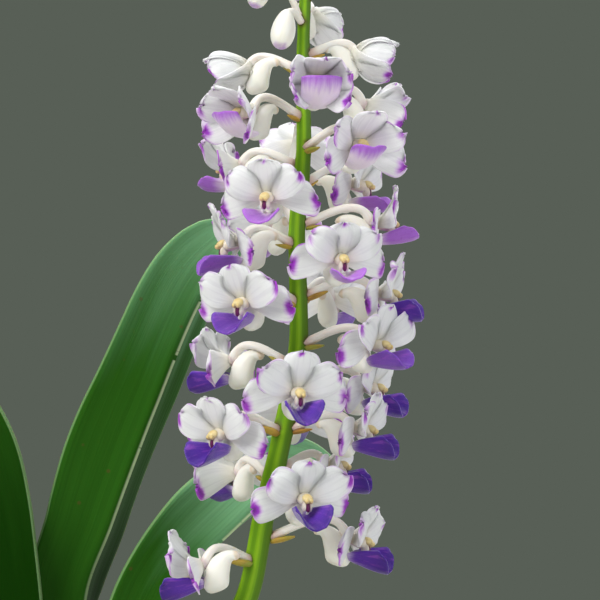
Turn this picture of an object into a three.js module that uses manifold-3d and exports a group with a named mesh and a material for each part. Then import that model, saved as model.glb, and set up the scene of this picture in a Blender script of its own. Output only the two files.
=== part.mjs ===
// A flowering foxtail orchid, Rhynchostylis coelestis, in a plain clay pot.
// Millimetres, +Z up. The origin is the middle of the pot's underside, +X is the
// side that the flower spike leans to and -Y is the side that the spike faces.

import * as THREE from 'three';
import { mergeVertices } from 'three/addons/utils/BufferGeometryUtils.js';
import Module from 'manifold-3d';

const wasm = await Module();
wasm.setup();

// Driving dimensions of the pot and what fills it
const POT_HEIGHT = 88;
const POT_BASE_RADIUS = 38;
const POT_MOUTH_RADIUS = 52;
const POT_RIM_RADIUS = 56;
const POT_RIM_DEPTH = 17;
const POT_WALL = 4.5;
const POT_FLOOR = 6;
const POT_SIDES = 20;
const DRAIN_HOLE_RADIUS = 5;
const DRAIN_HOLE_OFFSET = 20;
const DRAIN_HOLES = 3;
const MEDIUM_TOP = 79;
const CHIP_COUNT = 15;
const CLEARANCE = 0.3;

// Driving dimensions of one full-grown bloom
const SEPAL_THICKNESS = 0.8;
const DORSAL_LENGTH = 9;
const DORSAL_WIDTH = 8;
const PETAL_LENGTH = 9.6;
const PETAL_WIDTH = 6.8;
const LATERAL_LENGTH = 10.6;
const LATERAL_WIDTH = 7.6;
const LIP_LENGTH = 9.2;
const LIP_END_WIDTH = 9.4;
const LIP_BASE_WIDTH = 2.2;
const LIP_DEPTH = 4.2;
const LIP_THICKNESS = 0.9;
const COLUMN_LENGTH = 3.9;
const PEDICEL_RADIUS = 1;
const PEDICEL_STEPS = 4;
const BRACT_LENGTH = 4;
const BRACT_WIDTH = 2.4;
const BRACT_DEPTH = 1.5;

// Driving dimensions of the leaves, stem and roots
const LEAF_HALF_WIDTH = 13;
const LEAF_EDGE_THICKNESS = 0.9;
const LEAF_KEEL_THICKNESS = 2.4;
const LEAF_ROWS = 8;
const STEM_RADIUS = 5.2;
const STEM_FOOT = 66;
const STEM_TOP = 108;
const ROOT_RADIUS = 2.3;
const ROOT_SIDES = 5;
const ROOT_STEPS = 9;
const ROOT_ROOM = 1.1;
const STEM_ROOM = 0.8;
const SOCKET_HEIGHT = 60;

const rad = THREE.MathUtils.degToRad;
const lerp = THREE.MathUtils.lerp;
const smooth = THREE.MathUtils.smoothstep;

const finish = (color, roughness) => new THREE.MeshStandardMaterial({ color, roughness, metalness: 0 });
const MATERIALS = {
  petal: finish('#efeef2', 0.6),
  bud: finish('#eceadf', 0.6),
  rachis: finish('#7fae26', 0.5),
  leaf: finish('#2f7a2c', 0.42),
  stem: finish('#6f9440', 0.6),
  root: finish('#b9bdb0', 0.8),
  bark: finish('#5d4030', 0.95),
  clay: finish('#b5633f', 0.85),
};

const UP = new THREE.Vector3(0, 0, 1);
const root = new THREE.Group();

// A closed geometry as a solid: shared corners merged, flat slivers dropped.
function solidOf(geometry) {
  const bare = geometry.index ? geometry.clone() : geometry;
  bare.deleteAttribute('normal');
  bare.deleteAttribute('uv');
  const merged = mergeVertices(bare, 1e-4);
  const index = Array.from(merged.index.array);
  const kept = [];
  for (let i = 0; i < index.length; i += 3) {
    const [a, b, c] = index.slice(i, i + 3);
    if (a !== b && b !== c && a !== c) kept.push(a, b, c);
  }
  return new wasm.Manifold(new wasm.Mesh({
    numProp: 3,
    vertProperties: new Float32Array(merged.attributes.position.array),
    triVerts: new Uint32Array(kept),
  }));
}

// The largest body of a solid: a loose scrap left by a cut is dropped.
function mainBody(solid) {
  const bodies = solid.decompose();
  return bodies.reduce((best, body) => (body.volume() > best.volume() ? body : best), bodies[0]);
}

function addNode(name, solid, material) {
  const cut = mainBody(solid).getMesh();
  const geometry = new THREE.BufferGeometry();
  geometry.setAttribute('position', new THREE.BufferAttribute(new Float32Array(cut.vertProperties), 3));
  geometry.setIndex(Array.from(cut.triVerts));
  geometry.computeVertexNormals();
  const mesh = new THREE.Mesh(geometry, material);
  mesh.name = name;
  root.add(mesh);
}

function indexed(points, index) {
  const geometry = new THREE.BufferGeometry();
  const places = points.flatMap((point) => point.toArray());
  geometry.setAttribute('position', new THREE.Float32BufferAttribute(places, 3));
  geometry.setIndex(index);
  return geometry;
}

// A closed loft through rings of equally many points, with a flat cap at each end.
function loft(rings) {
  const sides = rings[0].length;
  const index = [];
  for (let row = 0; row < rings.length - 1; row++) {
    for (let side = 0; side < sides; side++) {
      const next = (side + 1) % sides;
      const [a, b] = [row * sides + side, row * sides + next];
      const [c, d] = [a + sides, b + sides];
      index.push(a, b, d, a, d, c);
    }
  }
  const last = (rings.length - 1) * sides;
  for (let side = 1; side < sides - 1; side++) {
    index.push(0, side + 1, side, last, last + side, last + side + 1);
  }
  return upright(solidOf(indexed(rings.flat(), index)));
}

// A solid made inside out is turned by reversing its triangles.
function upright(solid) {
  if (solid.volume() > 0) return solid;
  const mesh = solid.getMesh();
  const turned = [];
  for (let i = 0; i < mesh.triVerts.length; i += 3) {
    turned.push(mesh.triVerts[i], mesh.triVerts[i + 2], mesh.triVerts[i + 1]);
  }
  return new wasm.Manifold(new wasm.Mesh({
    numProp: 3, vertProperties: mesh.vertProperties, triVerts: new Uint32Array(turned),
  }));
}

// A solid sheet: points joined by triangles, thickened to both sides and closed
// round its border. Thickness is a number for each point.
function thicken(points, triangles, thickness) {
  const normals = points.map(() => new THREE.Vector3());
  const borders = new Map();
  for (const [a, b, c] of triangles) {
    const facing = points[b].clone().sub(points[a]).cross(points[c].clone().sub(points[a]));
    for (const corner of [a, b, c]) normals[corner].add(facing);
    for (const [from, to] of [[a, b], [b, c], [c, a]]) {
      if (!borders.delete(to + ' ' + from)) borders.set(from + ' ' + to, [from, to]);
    }
  }
  const halves = normals.map((normal, i) => normal.normalize().multiplyScalar(thickness[i] / 2));
  const shift = points.length;
  const index = triangles.flatMap(([a, b, c]) => [a, b, c, a + shift, c + shift, b + shift]);
  for (const [from, to] of borders.values()) index.push(to, from, from + shift, to, from + shift, to + shift);
  return upright(solidOf(indexed([
    ...points.map((point, i) => point.clone().add(halves[i])),
    ...points.map((point, i) => point.clone().sub(halves[i])),
  ], index)));
}

// Triangles between two runs of equally many points, mirrored about their middle.
function band(low, high) {
  return low.slice(1).flatMap((_, i) => {
    const [a, b, c, d] = [low[i], low[i + 1], high[i + 1], high[i]];
    return i < (low.length - 1) / 2 ? [[a, b, d], [b, c, d]] : [[a, b, c], [a, c, d]];
  });
}

// A blade: rows of points on its middle surface, with a thickness for each column.
function blade(rows, thicknesses) {
  const cols = rows[0].length;
  const rowOf = (row) => rows[row].map((_, col) => row * cols + col);
  const triangles = rows.slice(1).flatMap((_, row) => band(rowOf(row), rowOf(row + 1)));
  return thicken(rows.flat(), triangles, rows.flatMap(() => thicknesses));
}

// A tube of few sides along a curve.
function tube(curve, radius, sides, steps) {
  const section = new THREE.Shape();
  for (let side = 0; side < sides; side++) {
    const angle = (2 * Math.PI * side) / sides;
    const [x, y] = [radius * Math.cos(angle), radius * Math.sin(angle)];
    if (side === 0) section.moveTo(x, y);
    else section.lineTo(x, y);
  }
  section.closePath();
  const options = { steps, extrudePath: curve, bevelEnabled: false };
  return upright(solidOf(new THREE.ExtrudeGeometry(section, options)));
}

const join = (solids) => solids.reduce((whole, part) => whole.add(part));

// Value of a smooth run of numbers, each given with its place from 0 to 1.
function along(stops, t) {
  for (let i = 1; i < stops.length; i++) {
    const [from, to] = [stops[i - 1], stops[i]];
    if (t <= to[0]) return lerp(from[1], to[1], (t - from[0]) / (to[0] - from[0]));
  }
  return stops[stops.length - 1][1];
}

// Bloom anatomy. Its own frame: x to the side, y backwards, z up, column foot at 0.
const inBloom = (side, forward, up) => new THREE.Vector3(side, -forward, up);

const LOBE_OUTLINE = [[0, 0], [0.42, 0.86], [0.78, 1], [1, 0]];
const LOBE_MIDDLE = 0.42;
const LOBE_WIDEST = 0.78;
const NOTCH_REACH = 1.8;

// Point of a lobe, a sepal or petal that leaves the column at an angle round the face.
// Its midline rises towards the viewer by liftFoot degrees, bending over to liftTip.
function lobePoint({ turn, length, width, liftFoot, liftTip, dish }, seat, t, edge) {
  const [sideOut, upOut] = [Math.sin(rad(turn)), Math.cos(rad(turn))];
  const [from, bend] = [rad(liftFoot), rad(liftTip - liftFoot)];
  const lift = from + bend * t;
  const half = (width / 2) * along(LOBE_OUTLINE, t);
  const cup = dish * half * edge * edge;
  const reach = (length * (Math.sin(lift) - Math.sin(from))) / bend - Math.sin(lift) * cup;
  const rise = (-length * (Math.cos(lift) - Math.cos(from))) / bend + Math.cos(lift) * cup;
  return inBloom(reach * sideOut + edge * half * upOut, seat + rise, reach * upOut - edge * half * sideOut);
}

// A whorl of lobes, given clockwise: one sheet that is notched between them.
function whorl(lobes, seat, notch = NOTCH_REACH) {
  const points = [];
  const triangles = [];
  const add = (point) => points.push(point) - 1;
  const rim = (turn) => {
    const lobe = lobes.find((one) => one.turn === turn) ?? lobes[0];
    const lift = rad(lobe.liftFoot);
    const reach = notch * Math.cos(lift);
    return inBloom(reach * Math.sin(rad(turn)), seat + notch * Math.sin(lift), reach * Math.cos(rad(turn)));
  };
  const notches = lobes.map(({ turn }, i) => {
    const next = lobes[(i + 1) % lobes.length].turn + (i === lobes.length - 1 ? 360 : 0);
    return add(rim((turn + next) / 2));
  });
  const feet = [];
  lobes.forEach((lobe, i) => {
    const foot = [notches[(i + lobes.length - 1) % lobes.length], add(rim(lobe.turn)), notches[i]];
    const middle = [-1, 0, 1].map((edge) => add(lobePoint(lobe, seat, LOBE_MIDDLE, edge)));
    const [left, right] = [-1, 1].map((edge) => add(lobePoint(lobe, seat, LOBE_WIDEST, edge)));
    const tip = add(lobePoint(lobe, seat, 1, 0));
    feet.push(foot[0], foot[1]);
    triangles.push(...band(foot, middle), [middle[0], middle[1], left], [middle[1], right, left]);
    triangles.push([middle[1], middle[2], right], [left, right, tip]);
  });
  for (let i = 1; i < feet.length - 1; i++) triangles.push([feet[0], feet[i + 1], feet[i]]);
  return thicken(points, triangles, points.map(() => SEPAL_THICKNESS));
}

// The lip: a trough that leaves the front of the spur and widens to a blunt end.
// Its midline turns from lipFoot degrees above level to lipTip degrees.
const LIP_SEAT = { forward: 0, up: -4 };
function lip({ lipFoot, lipTip, spread }) {
  const [from, bend] = [rad(lipFoot), rad(lipTip - lipFoot)];
  const rows = [0, 0.5, 1].map((t) => {
    const slope = from + bend * t;
    const reach = (LIP_LENGTH * (Math.sin(slope) - Math.sin(from))) / bend;
    const rise = (-LIP_LENGTH * (Math.cos(slope) - Math.cos(from))) / bend;
    const half = lerp(LIP_BASE_WIDTH, LIP_END_WIDTH * spread, Math.pow(t, 0.8)) / 2;
    const depth = LIP_DEPTH * lerp(0.15, 1, t);
    return [-1, 0, 1].map((edge) => {
      const wall = depth * edge * edge;
      return inBloom(
        edge * half,
        LIP_SEAT.forward + reach - wall * Math.sin(slope),
        LIP_SEAT.up + rise + wall * Math.cos(slope),
      );
    });
  });
  return blade(rows, [LIP_THICKNESS, LIP_THICKNESS, LIP_THICKNESS]);
}

// The spur: a sac flattened from side to side below the column, whose neck runs
// back to a blunt nub. Each ring is given by its centre, radius and half thickness.
const SPUR_RINGS = [
  { forward: -8.2, up: -0.6, radius: 0.8, half: 0.7, slope: 20 },
  { forward: -6, up: 0, radius: 1.2, half: 1, slope: -20 },
  { forward: -2.6, up: -3.1, radius: 3.1, half: 1.7, slope: -28 },
  { forward: 0.4, up: -4.5, radius: 1.3, half: 1.4, slope: 0 },
];
const SPUR_SIDES = 4;
function spur() {
  return loft(SPUR_RINGS.map(({ forward, up, radius, half, slope }) =>
    Array.from({ length: SPUR_SIDES }, (_, side) => {
      const angle = (2 * Math.PI * side) / SPUR_SIDES + Math.PI / 2;
      const across = radius * Math.sin(angle);
      const [back, over] = [across * Math.sin(rad(slope)), across * Math.cos(rad(slope))];
      return inBloom(half * Math.cos(angle), forward - back, up + over);
    })));
}

// A young bloom, below this age, is still a bell: its outer wall, the points of its five
// lobes and its inner wall, each ring by how far forward it lies and its radius.
const BELL_AGE = 0.33;
const BELL_LOBES = 5;
const BELL_RINGS = [
  { forward: -0.9, radius: 1 }, { forward: 1.3, radius: 3 }, { forward: 4.4, radius: 4 },
  { forward: 7.3, radius: 3.9, lobe: 1.3 }, { forward: 7.1, radius: 3.1, lobe: 1.3 },
  { forward: 4.2, radius: 3.1 }, { forward: 1.9, radius: 2.1 },
];
function bell() {
  return loft(BELL_RINGS.map(({ forward, radius, lobe = 0 }) =>
    Array.from({ length: 2 * BELL_LOBES }, (_, corner) => {
      const angle = (Math.PI * corner) / BELL_LOBES;
      const front = forward + (corner % 2 ? -lobe : lobe);
      return inBloom(radius * Math.sin(angle), front, radius * Math.cos(angle));
    })));
}

const PEDICEL_BACK = { forward: -1.2, up: 0.1 };
const COLUMN_END = { forward: COLUMN_LENGTH, up: -0.5 };

// Lobes and lip of a bloom by its age, up to 1, fully spread. LipRise lifts its lip.
function bloomShape(age, lipRise = 0) {
  const open = smooth(age, 0.1, 0.65);
  const spread = (from, to) => lerp(from, to, open);
  const slim = spread(0.5, 1);
  const dorsal = {
    turn: 0, length: DORSAL_LENGTH, width: DORSAL_WIDTH * slim,
    liftFoot: spread(70, 46), liftTip: spread(62, 12), dish: 0.12,
  };
  const petal = {
    turn: 59, length: PETAL_LENGTH, width: PETAL_WIDTH * slim,
    liftFoot: spread(70, 52), liftTip: spread(62, 2), dish: 0.15,
  };
  const lateral = {
    turn: spread(130, 94), length: LATERAL_LENGTH, width: LATERAL_WIDTH * slim,
    liftFoot: spread(70, 14), liftTip: spread(62, -16), dish: 0.1,
  };
  const other = (lobe) => ({ ...lobe, turn: 360 - lobe.turn });
  return {
    lip: {
      lipFoot: -6 + lipRise / 2,
      lipTip: lerp(58, -5, smooth(age, 0.45, 0.75)) + lipRise,
      spread: lerp(0.75, 1, smooth(age, 0.4, 0.75)),
    },
    whorls: [
      { lobes: [dorsal, lateral, other(lateral)], seat: -0.7 },
      { lobes: [petal, other(petal)], seat: 1 },
    ],
  };
}

// Where a bloom stands: its column foot, the way it looks (yaw 0 is -Y, 90 is +X),
// how far it nods, its lean to one side, its age and its size.
function bloomMatrix({ at, yaw, nod, lean = 0, size = 1 }) {
  const turn = new THREE.Quaternion()
    .setFromEuler(new THREE.Euler(rad(nod), rad(lean), rad(yaw), 'ZXY'));
  return new THREE.Matrix4().compose(new THREE.Vector3(...at), turn, new THREE.Vector3(size, size, size));
}

// Flower spike: the middle line of its stalk and the radius along it.
const RACHIS_LINE = [
  [5.5, -6.5, 95], [12, -11, 108], [22, -17, 124], [31, -21, 138], [38.8, -24, 151], [42.3, -26, 167.6],
  [46.1, -26.5, 184.2], [49.2, -27, 201.4], [49.2, -27, 214.2], [49, -27, 225.8], [50.3, -27, 240],
  [50.2, -27, 259.6], [50.8, -27, 275], [51.4, -27, 291],
];
const RACHIS_CURVE = new THREE.CatmullRomCurve3(
  RACHIS_LINE.map((point) => new THREE.Vector3(...point)), false, 'centripetal',
);
const RACHIS_RADIUS = [[0, 2.7], [0.35, 2.45], [0.6, 2], [0.8, 1.6], [0.95, 1.1], [1, 0.7]];
const RACHIS_RINGS = 12;
const RACHIS_RIBS = 4;

const RACHIS_MIDDLES = Array.from({ length: RACHIS_RINGS + 1 }, (_, ring) =>
  RACHIS_CURVE.getPoint(ring / RACHIS_RINGS));

// Middle and radius of the stalk at a height, on the straight run between two rings.
function rachisAt(height) {
  const above = THREE.MathUtils.clamp(RACHIS_MIDDLES.findIndex((middle) => middle.z > height), 1, RACHIS_RINGS);
  const [low, high] = [RACHIS_MIDDLES[above - 1], RACHIS_MIDDLES[above]];
  const share = (height - low.z) / (high.z - low.z);
  const radius = along(RACHIS_RADIUS, (above - 1 + share) / RACHIS_RINGS);
  return { point: low.clone().lerp(high, share), radius };
}

// The stalk of a bloom: out of the spike, up in an arch and down to the flower's back.
// Its two middle handles lie out and up by these shares of its span.
const PEDICEL_HANDLES = { foot: { out: 0.4, up: 0.2 }, back: { out: 0.12, up: 0.36 } };
function pedicelCurve(back, behind, drop) {
  const foot = rachisAt(back.z - drop);
  const out = new THREE.Vector3(back.x - foot.point.x, back.y - foot.point.y, 0).normalize();
  const start = foot.point.clone().addScaledVector(out, foot.radius + 2 * CLEARANCE);
  const span = back.distanceTo(start);
  const handle = (from, way, share) => from.clone().addScaledVector(way, share.out * span)
    .addScaledVector(UP, share.up * span);
  const first = handle(start, out, PEDICEL_HANDLES.foot);
  const second = handle(back, behind, PEDICEL_HANDLES.back);
  return { arch: new THREE.CubicBezierCurve3(start, first, second, back), foot, out };
}

function bloomSolid(place) {
  const shape = bloomShape(place.age, place.lipRise);
  const flower = join(place.age < BELL_AGE
    ? [spur(), bell()]
    : [spur(), ...shape.whorls.map(({ lobes, seat }) => whorl(lobes, seat)), lip(shape.lip)]);
  const matrix = bloomMatrix(place);
  const placed = flower.transform(matrix.elements);
  const back = inBloom(0, PEDICEL_BACK.forward, PEDICEL_BACK.up).applyMatrix4(matrix);
  const behind = inBloom(0, -1, 0.25).transformDirection(matrix);
  const { arch } = pedicelCurve(back, behind, place.drop ?? 0);
  const columnEnd = inBloom(0, COLUMN_END.forward, COLUMN_END.up).applyMatrix4(matrix);
  const onArch = [0, 0.28, 0.52, 0.76, 1].map((t) => arch.getPoint(t));
  const middle = new THREE.CatmullRomCurve3([...onArch, columnEnd]);
  return placed.add(tube(middle, PEDICEL_RADIUS, 4, PEDICEL_STEPS));
}

// Blooms from the top of the spike down. Those with a number above 40 face away.
const BLOOMS = [
  { name: '03', at: [52.4, -17, 268.4], yaw: 150, nod: 20, age: 0.3, size: 0.82 },
  { name: '04', at: [61.6, -27, 260], yaw: 90, nod: 12, age: 0.25, size: 0.9 },
  { name: '05', at: [38.4, -28, 257], yaw: -95, nod: 14, age: 0.25, size: 0.9 },
  { name: '06', at: [53.2, -41, 254], yaw: 10, nod: 5, age: 0.4, size: 0.9 },
  { name: '07', at: [39.6, -38, 247.8], yaw: -47, nod: 8, age: 0.45, size: 0.95 },
  { name: '08', at: [63, -18, 250.5], yaw: 120, nod: 12, age: 0.5, size: 0.9 },
  { name: '09', at: [60.4, -40, 241.5], yaw: 25, nod: 8, age: 0.5 },
  { name: '10', at: [37, -22, 238], yaw: -110, nod: 12, age: 0.6 },
  { name: '11', at: [43.6, -43, 231.2], yaw: -15, nod: 10, age: 0.7, size: 0.94 },
  { name: '12', at: [60.4, -16.6, 234.6], yaw: 72, nod: 8, age: 0.7 },
  { name: '13', at: [64.8, -28, 226.4], yaw: 88, nod: 5, age: 0.72, lipRise: 22 },
  { name: '14', at: [57, -43, 219.2], yaw: 20, nod: 8, age: 0.64, size: 0.95 },
  { name: '15', at: [37.4, -34, 222.4], yaw: -80, nod: 12, age: 0.8 },
  { name: '16', at: [39.2, -41, 210.8], yaw: -28, nod: 10, age: 0.85 },
  { name: '17', at: [65.4, -27, 212.2], yaw: 80, nod: 3, age: 0.9 },
  { name: '19', at: [63.8, -33, 202.4], yaw: 55, nod: 8, age: 0.84, lipRise: 12 },
  { name: '20', at: [35, -18, 198.6], yaw: -115, nod: 12, age: 0.9 },
  { name: '21', at: [48.8, -45, 193.6], yaw: 15, nod: 10, age: 0.95 },
  { name: '22', at: [63, -17.5, 193.4], yaw: 68, nod: 8, age: 0.95 },
  { name: '23', at: [34.8, -38, 185.2], yaw: -40, nod: 10, age: 0.95 },
  { name: '24', at: [60.6, -30, 185.6], yaw: 75, nod: 8, age: 1 },
  { name: '25', at: [55.4, -19, 177.6], yaw: 80, nod: 5, age: 1 },
  { name: '26', at: [49.8, -42, 173], yaw: 22, nod: 8, age: 1 },
  { name: '27', at: [36.6, -13, 175.6], yaw: -150, nod: 10, age: 1 },
  { name: '28', at: [30, -35, 159], yaw: -100, nod: 18, age: 1 },
  { name: '29', at: [60, -29, 163.6], yaw: 75, nod: 14, age: 1 },
  { name: '41', at: [49, -10, 243], yaw: -175, nod: 10, age: 0.5, size: 0.9 },
  { name: '43', at: [44, -9, 226], yaw: -158, nod: 10, age: 0.75 },
  { name: '44', at: [56, -9, 211], yaw: 165, nod: 10, age: 0.85 },
  { name: '47', at: [48, -8, 187], yaw: 178, nod: 10, age: 0.95 },
];

// Buds above the open blooms: foot height on the spike, direction round it, how far
// they reach out and, as a share of that, up, and their length.
const BUDS = [
  { name: '01', foot: 268, yaw: -57, reach: 8, rise: 0.88, length: 8 },
  { name: '02', foot: 266.5, yaw: -30, reach: 5.6, length: 8.5 },
  { name: '51', foot: 272, yaw: 70, reach: 8, rise: 0.75, length: 7.6 },
  { name: '53', foot: 274.5, yaw: -10, reach: 7, length: 7 },
  { name: '54', foot: 278, yaw: -120, reach: 6, length: 6.4 },
  { name: '55', foot: 280, yaw: 110, reach: 5.6, length: 6 },
  { name: '56', foot: 283, yaw: -35, reach: 4.6, length: 5.4 },
  { name: '57', foot: 286, yaw: 165, reach: 3.8, length: 4.8 },
];

const BUD_RISE = 0.12;
const BUD_TILT = 20;
const BUD_SEAT = 0.36;

// A bud: a short stalk that arches over, ending in a drop that hangs from it.
function budSolid({ foot, yaw, reach, rise = BUD_RISE, length }) {
  const at = rachisAt(foot);
  const out = new THREE.Vector3(Math.sin(rad(yaw)), -Math.cos(rad(yaw)), 0);
  const start = at.point.clone().addScaledVector(out, at.radius + CLEARANCE);
  const top = start.clone().addScaledVector(out, 0.55 * reach).addScaledVector(UP, (0.4 + 0.9 * rise) * reach);
  const end = start.clone().addScaledVector(out, reach).addScaledVector(UP, rise * reach);
  const stalk = tube(new THREE.QuadraticBezierCurve3(start, top, end), 0.75, 4, 3);
  const drop = new THREE.SphereGeometry(length / 2, 6, 4);
  drop.rotateX(Math.PI / 2);
  drop.scale(0.56, 0.56, 1);
  drop.rotateX(rad(-BUD_TILT));
  drop.rotateZ(rad(yaw));
  const hang = BUD_SEAT * length;
  const away = hang * Math.sin(rad(BUD_TILT));
  drop.translate(end.x + away * out.x, end.y + away * out.y, end.z - hang * Math.cos(rad(BUD_TILT)));
  return stalk.add(upright(solidOf(drop)));
}

// A bract: a small pointed scale that stands off the stalk below a pedicel's foot.
const BRACT_ROOTING = 0.7;
function bract(foot, out) {
  const side = new THREE.Vector3(-out.y, out.x, 0);
  const base = foot.point.clone().addScaledVector(out, foot.radius - BRACT_ROOTING)
    .addScaledVector(UP, -PEDICEL_RADIUS - 0.9 * BRACT_DEPTH);
  const corner = (across, ahead, above) => base.clone().addScaledVector(side, across)
    .addScaledVector(out, ahead).addScaledVector(UP, above);
  const points = [
    corner(-BRACT_WIDTH / 2, 0, 0), corner(BRACT_WIDTH / 2, 0, 0), corner(0, 0, BRACT_DEPTH),
    corner(0, BRACT_LENGTH, 0.2 * BRACT_LENGTH),
  ];
  return upright(solidOf(indexed(points, [0, 1, 2, 0, 3, 1, 1, 3, 2, 2, 3, 0])));
}

function rachisSolid() {
  const rings = [];
  for (let ring = 0; ring <= RACHIS_RINGS; ring++) {
    const t = ring / RACHIS_RINGS;
    const [middle, way] = [RACHIS_MIDDLES[ring], RACHIS_CURVE.getTangent(t)];
    const side = new THREE.Vector3(1, 0, 0).cross(way).normalize();
    const front = way.clone().cross(side).normalize();
    const radius = along(RACHIS_RADIUS, t);
    rings.push(Array.from({ length: 2 * RACHIS_RIBS }, (_, corner) => {
      const angle = (Math.PI * corner) / RACHIS_RIBS;
      const ribbed = radius * (corner % 2 ? 0.88 : 1);
      return middle.clone().addScaledVector(side, ribbed * Math.cos(angle))
        .addScaledVector(front, ribbed * Math.sin(angle));
    }));
  }
  const bracts = BLOOMS.map((place) => {
    const matrix = bloomMatrix(place);
    const back = inBloom(0, PEDICEL_BACK.forward, PEDICEL_BACK.up).applyMatrix4(matrix);
    const { foot, out } = pedicelCurve(back, UP, place.drop ?? 0);
    return bract(foot, out);
  });
  return join([loft(rings), ...bracts]);
}

// Leaves. The keel is given in the leaf's own upright plane as (reach, height), which
// is turned by heading degrees from +X. Fold is the half angle between the halves and
// twist turns the whole section towards -Y, each at the foot and in the open blade.
const LEAVES = [
  { name: 'right_1', heading: 4, keel: [[2, 84], [16, 97], [44, 108], [74, 102], [98, 84]],
    sheath: 0.15, fold: [30, 66], twist: [0, 8] },
  { name: 'right_2', heading: 7,
    keel: [[3, 88], [13, 114], [21.6, 147.4], [34.3, 162], [46, 170.5], [56.5, 166]],
    sheath: 0.16, fold: [24, 58], twist: [10, 44], half: 14.4 },
  { name: 'right_3', heading: 3,
    keel: [[2, 98], [6.2, 122], [3.6, 147.4], [9.3, 164.1], [18.4, 188.3], [29.2, 213.3], [39, 226]],
    sheath: 0.1, fold: [16, 57], twist: [0, 49], half: 14.8 },
  { name: 'left_1', heading: 183, keel: [[2, 84], [18, 99], [46, 110], [76, 104], [100, 86]],
    sheath: 0.15, fold: [30, 66], twist: [0, 8] },
  { name: 'left_2', heading: 177, keel: [[3, 86], [17, 112], [38, 132], [66, 138], [92, 128]],
    sheath: 0.16, fold: [24, 62], twist: [0, 10] },
  { name: 'left_3', heading: 182,
    keel: [[2, 94], [10.4, 116], [14, 145], [18, 168], [25, 186], [37.5, 205], [54, 217]],
    sheath: 0.13, fold: [38, 60], twist: [0, 30], half: 14.6 },
];

const LEAF_WIDTHS = [[0, 0.46], [0.14, 0.5], [0.35, 0.85], [0.6, 1], [0.82, 0.9], [0.94, 0.66], [1, 0.28]];

// Rows of points of a leaf's middle surface, from one place on its keel to another.
function leafRows({ heading, keel, fold, twist, half = LEAF_HALF_WIDTH }, from, to, rowCount) {
  const way = new THREE.Vector3(Math.cos(rad(heading)), Math.sin(rad(heading)), 0);
  const curve = new THREE.CatmullRomCurve3(
    keel.map(([reach, height]) => way.clone().multiplyScalar(reach).setZ(height)), false, 'centripetal',
  );
  const near = new THREE.Vector3(way.y, -way.x, 0).multiplyScalar(Math.sign(way.x));
  return Array.from({ length: rowCount }, (_, row) => {
    const t = lerp(from, to, row / (rowCount - 1));
    const [middle, ahead] = [curve.getPoint(t), curve.getTangent(t)];
    const up = near.clone().cross(ahead);
    if (up.dot(new THREE.Vector3(0, 0, 1).addScaledVector(way, -1)) < 0) up.negate();
    const width = half * along(LEAF_WIDTHS, t);
    const open = lerp(fold[0], fold[1], smooth(t, 0.06, 0.32));
    const turn = lerp(twist[0], twist[1], smooth(t, 0.06, 0.36));
    const edge = (share, sign) => {
      const angle = rad(open) - sign * rad(turn);
      return middle.clone().addScaledVector(up, share * width * Math.cos(angle))
        .addScaledVector(near, sign * share * width * Math.sin(angle));
    };
    return [edge(1, 1), edge(0.5, 1), middle, edge(0.5, -1), edge(1, -1)];
  });
}
const LEAF_THICKNESSES = [LEAF_EDGE_THICKNESS, 1.5, LEAF_KEEL_THICKNESS, 1.5, LEAF_EDGE_THICKNESS];

const SHEATH_ROWS = 2;
const SHEATH_THICKNESSES = [LEAF_EDGE_THICKNESS, LEAF_KEEL_THICKNESS, LEAF_EDGE_THICKNESS];
const JOINT_GAP = 0.0035;

// Pot, with a rolled rim and drain holes beside its middle.
function potSolid() {
  const [outer, inner] = [POT_RIM_RADIUS, POT_MOUTH_RADIUS - POT_WALL];
  const profile = [
    [0, 0], [POT_BASE_RADIUS, 0], [POT_BASE_RADIUS + 1, 1.2],
    [POT_MOUTH_RADIUS - 1.5, POT_HEIGHT - POT_RIM_DEPTH],
    [outer - 1.2, POT_HEIGHT - POT_RIM_DEPTH + 0.6], [outer, POT_HEIGHT - 2], [outer - 2, POT_HEIGHT],
    [inner + 1.5, POT_HEIGHT], [inner, POT_HEIGHT - 2], [POT_BASE_RADIUS - POT_WALL, POT_FLOOR], [0, POT_FLOOR],
  ].map(([x, y]) => new THREE.Vector2(x, y));
  const geometry = new THREE.LatheGeometry(profile, POT_SIDES);
  geometry.rotateX(Math.PI / 2);
  let pot = upright(solidOf(geometry));
  for (let hole = 0; hole < DRAIN_HOLES; hole++) {
    const angle = (2 * Math.PI * hole) / DRAIN_HOLES;
    const drill = new THREE.CylinderGeometry(DRAIN_HOLE_RADIUS, DRAIN_HOLE_RADIUS, 4 * POT_FLOOR, 10);
    drill.rotateX(Math.PI / 2);
    drill.translate(DRAIN_HOLE_OFFSET * Math.cos(angle), DRAIN_HOLE_OFFSET * Math.sin(angle), 0);
    pot = pot.subtract(upright(solidOf(drill)));
  }
  return pot;
}

// Steady numbers between 0 and 1 from one seed.
function seeded(seed) {
  let state = seed;
  return () => {
    state = (state * 1664525 + 1013904223) % 4294967296;
    return state / 4294967296;
  };
}

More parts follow.
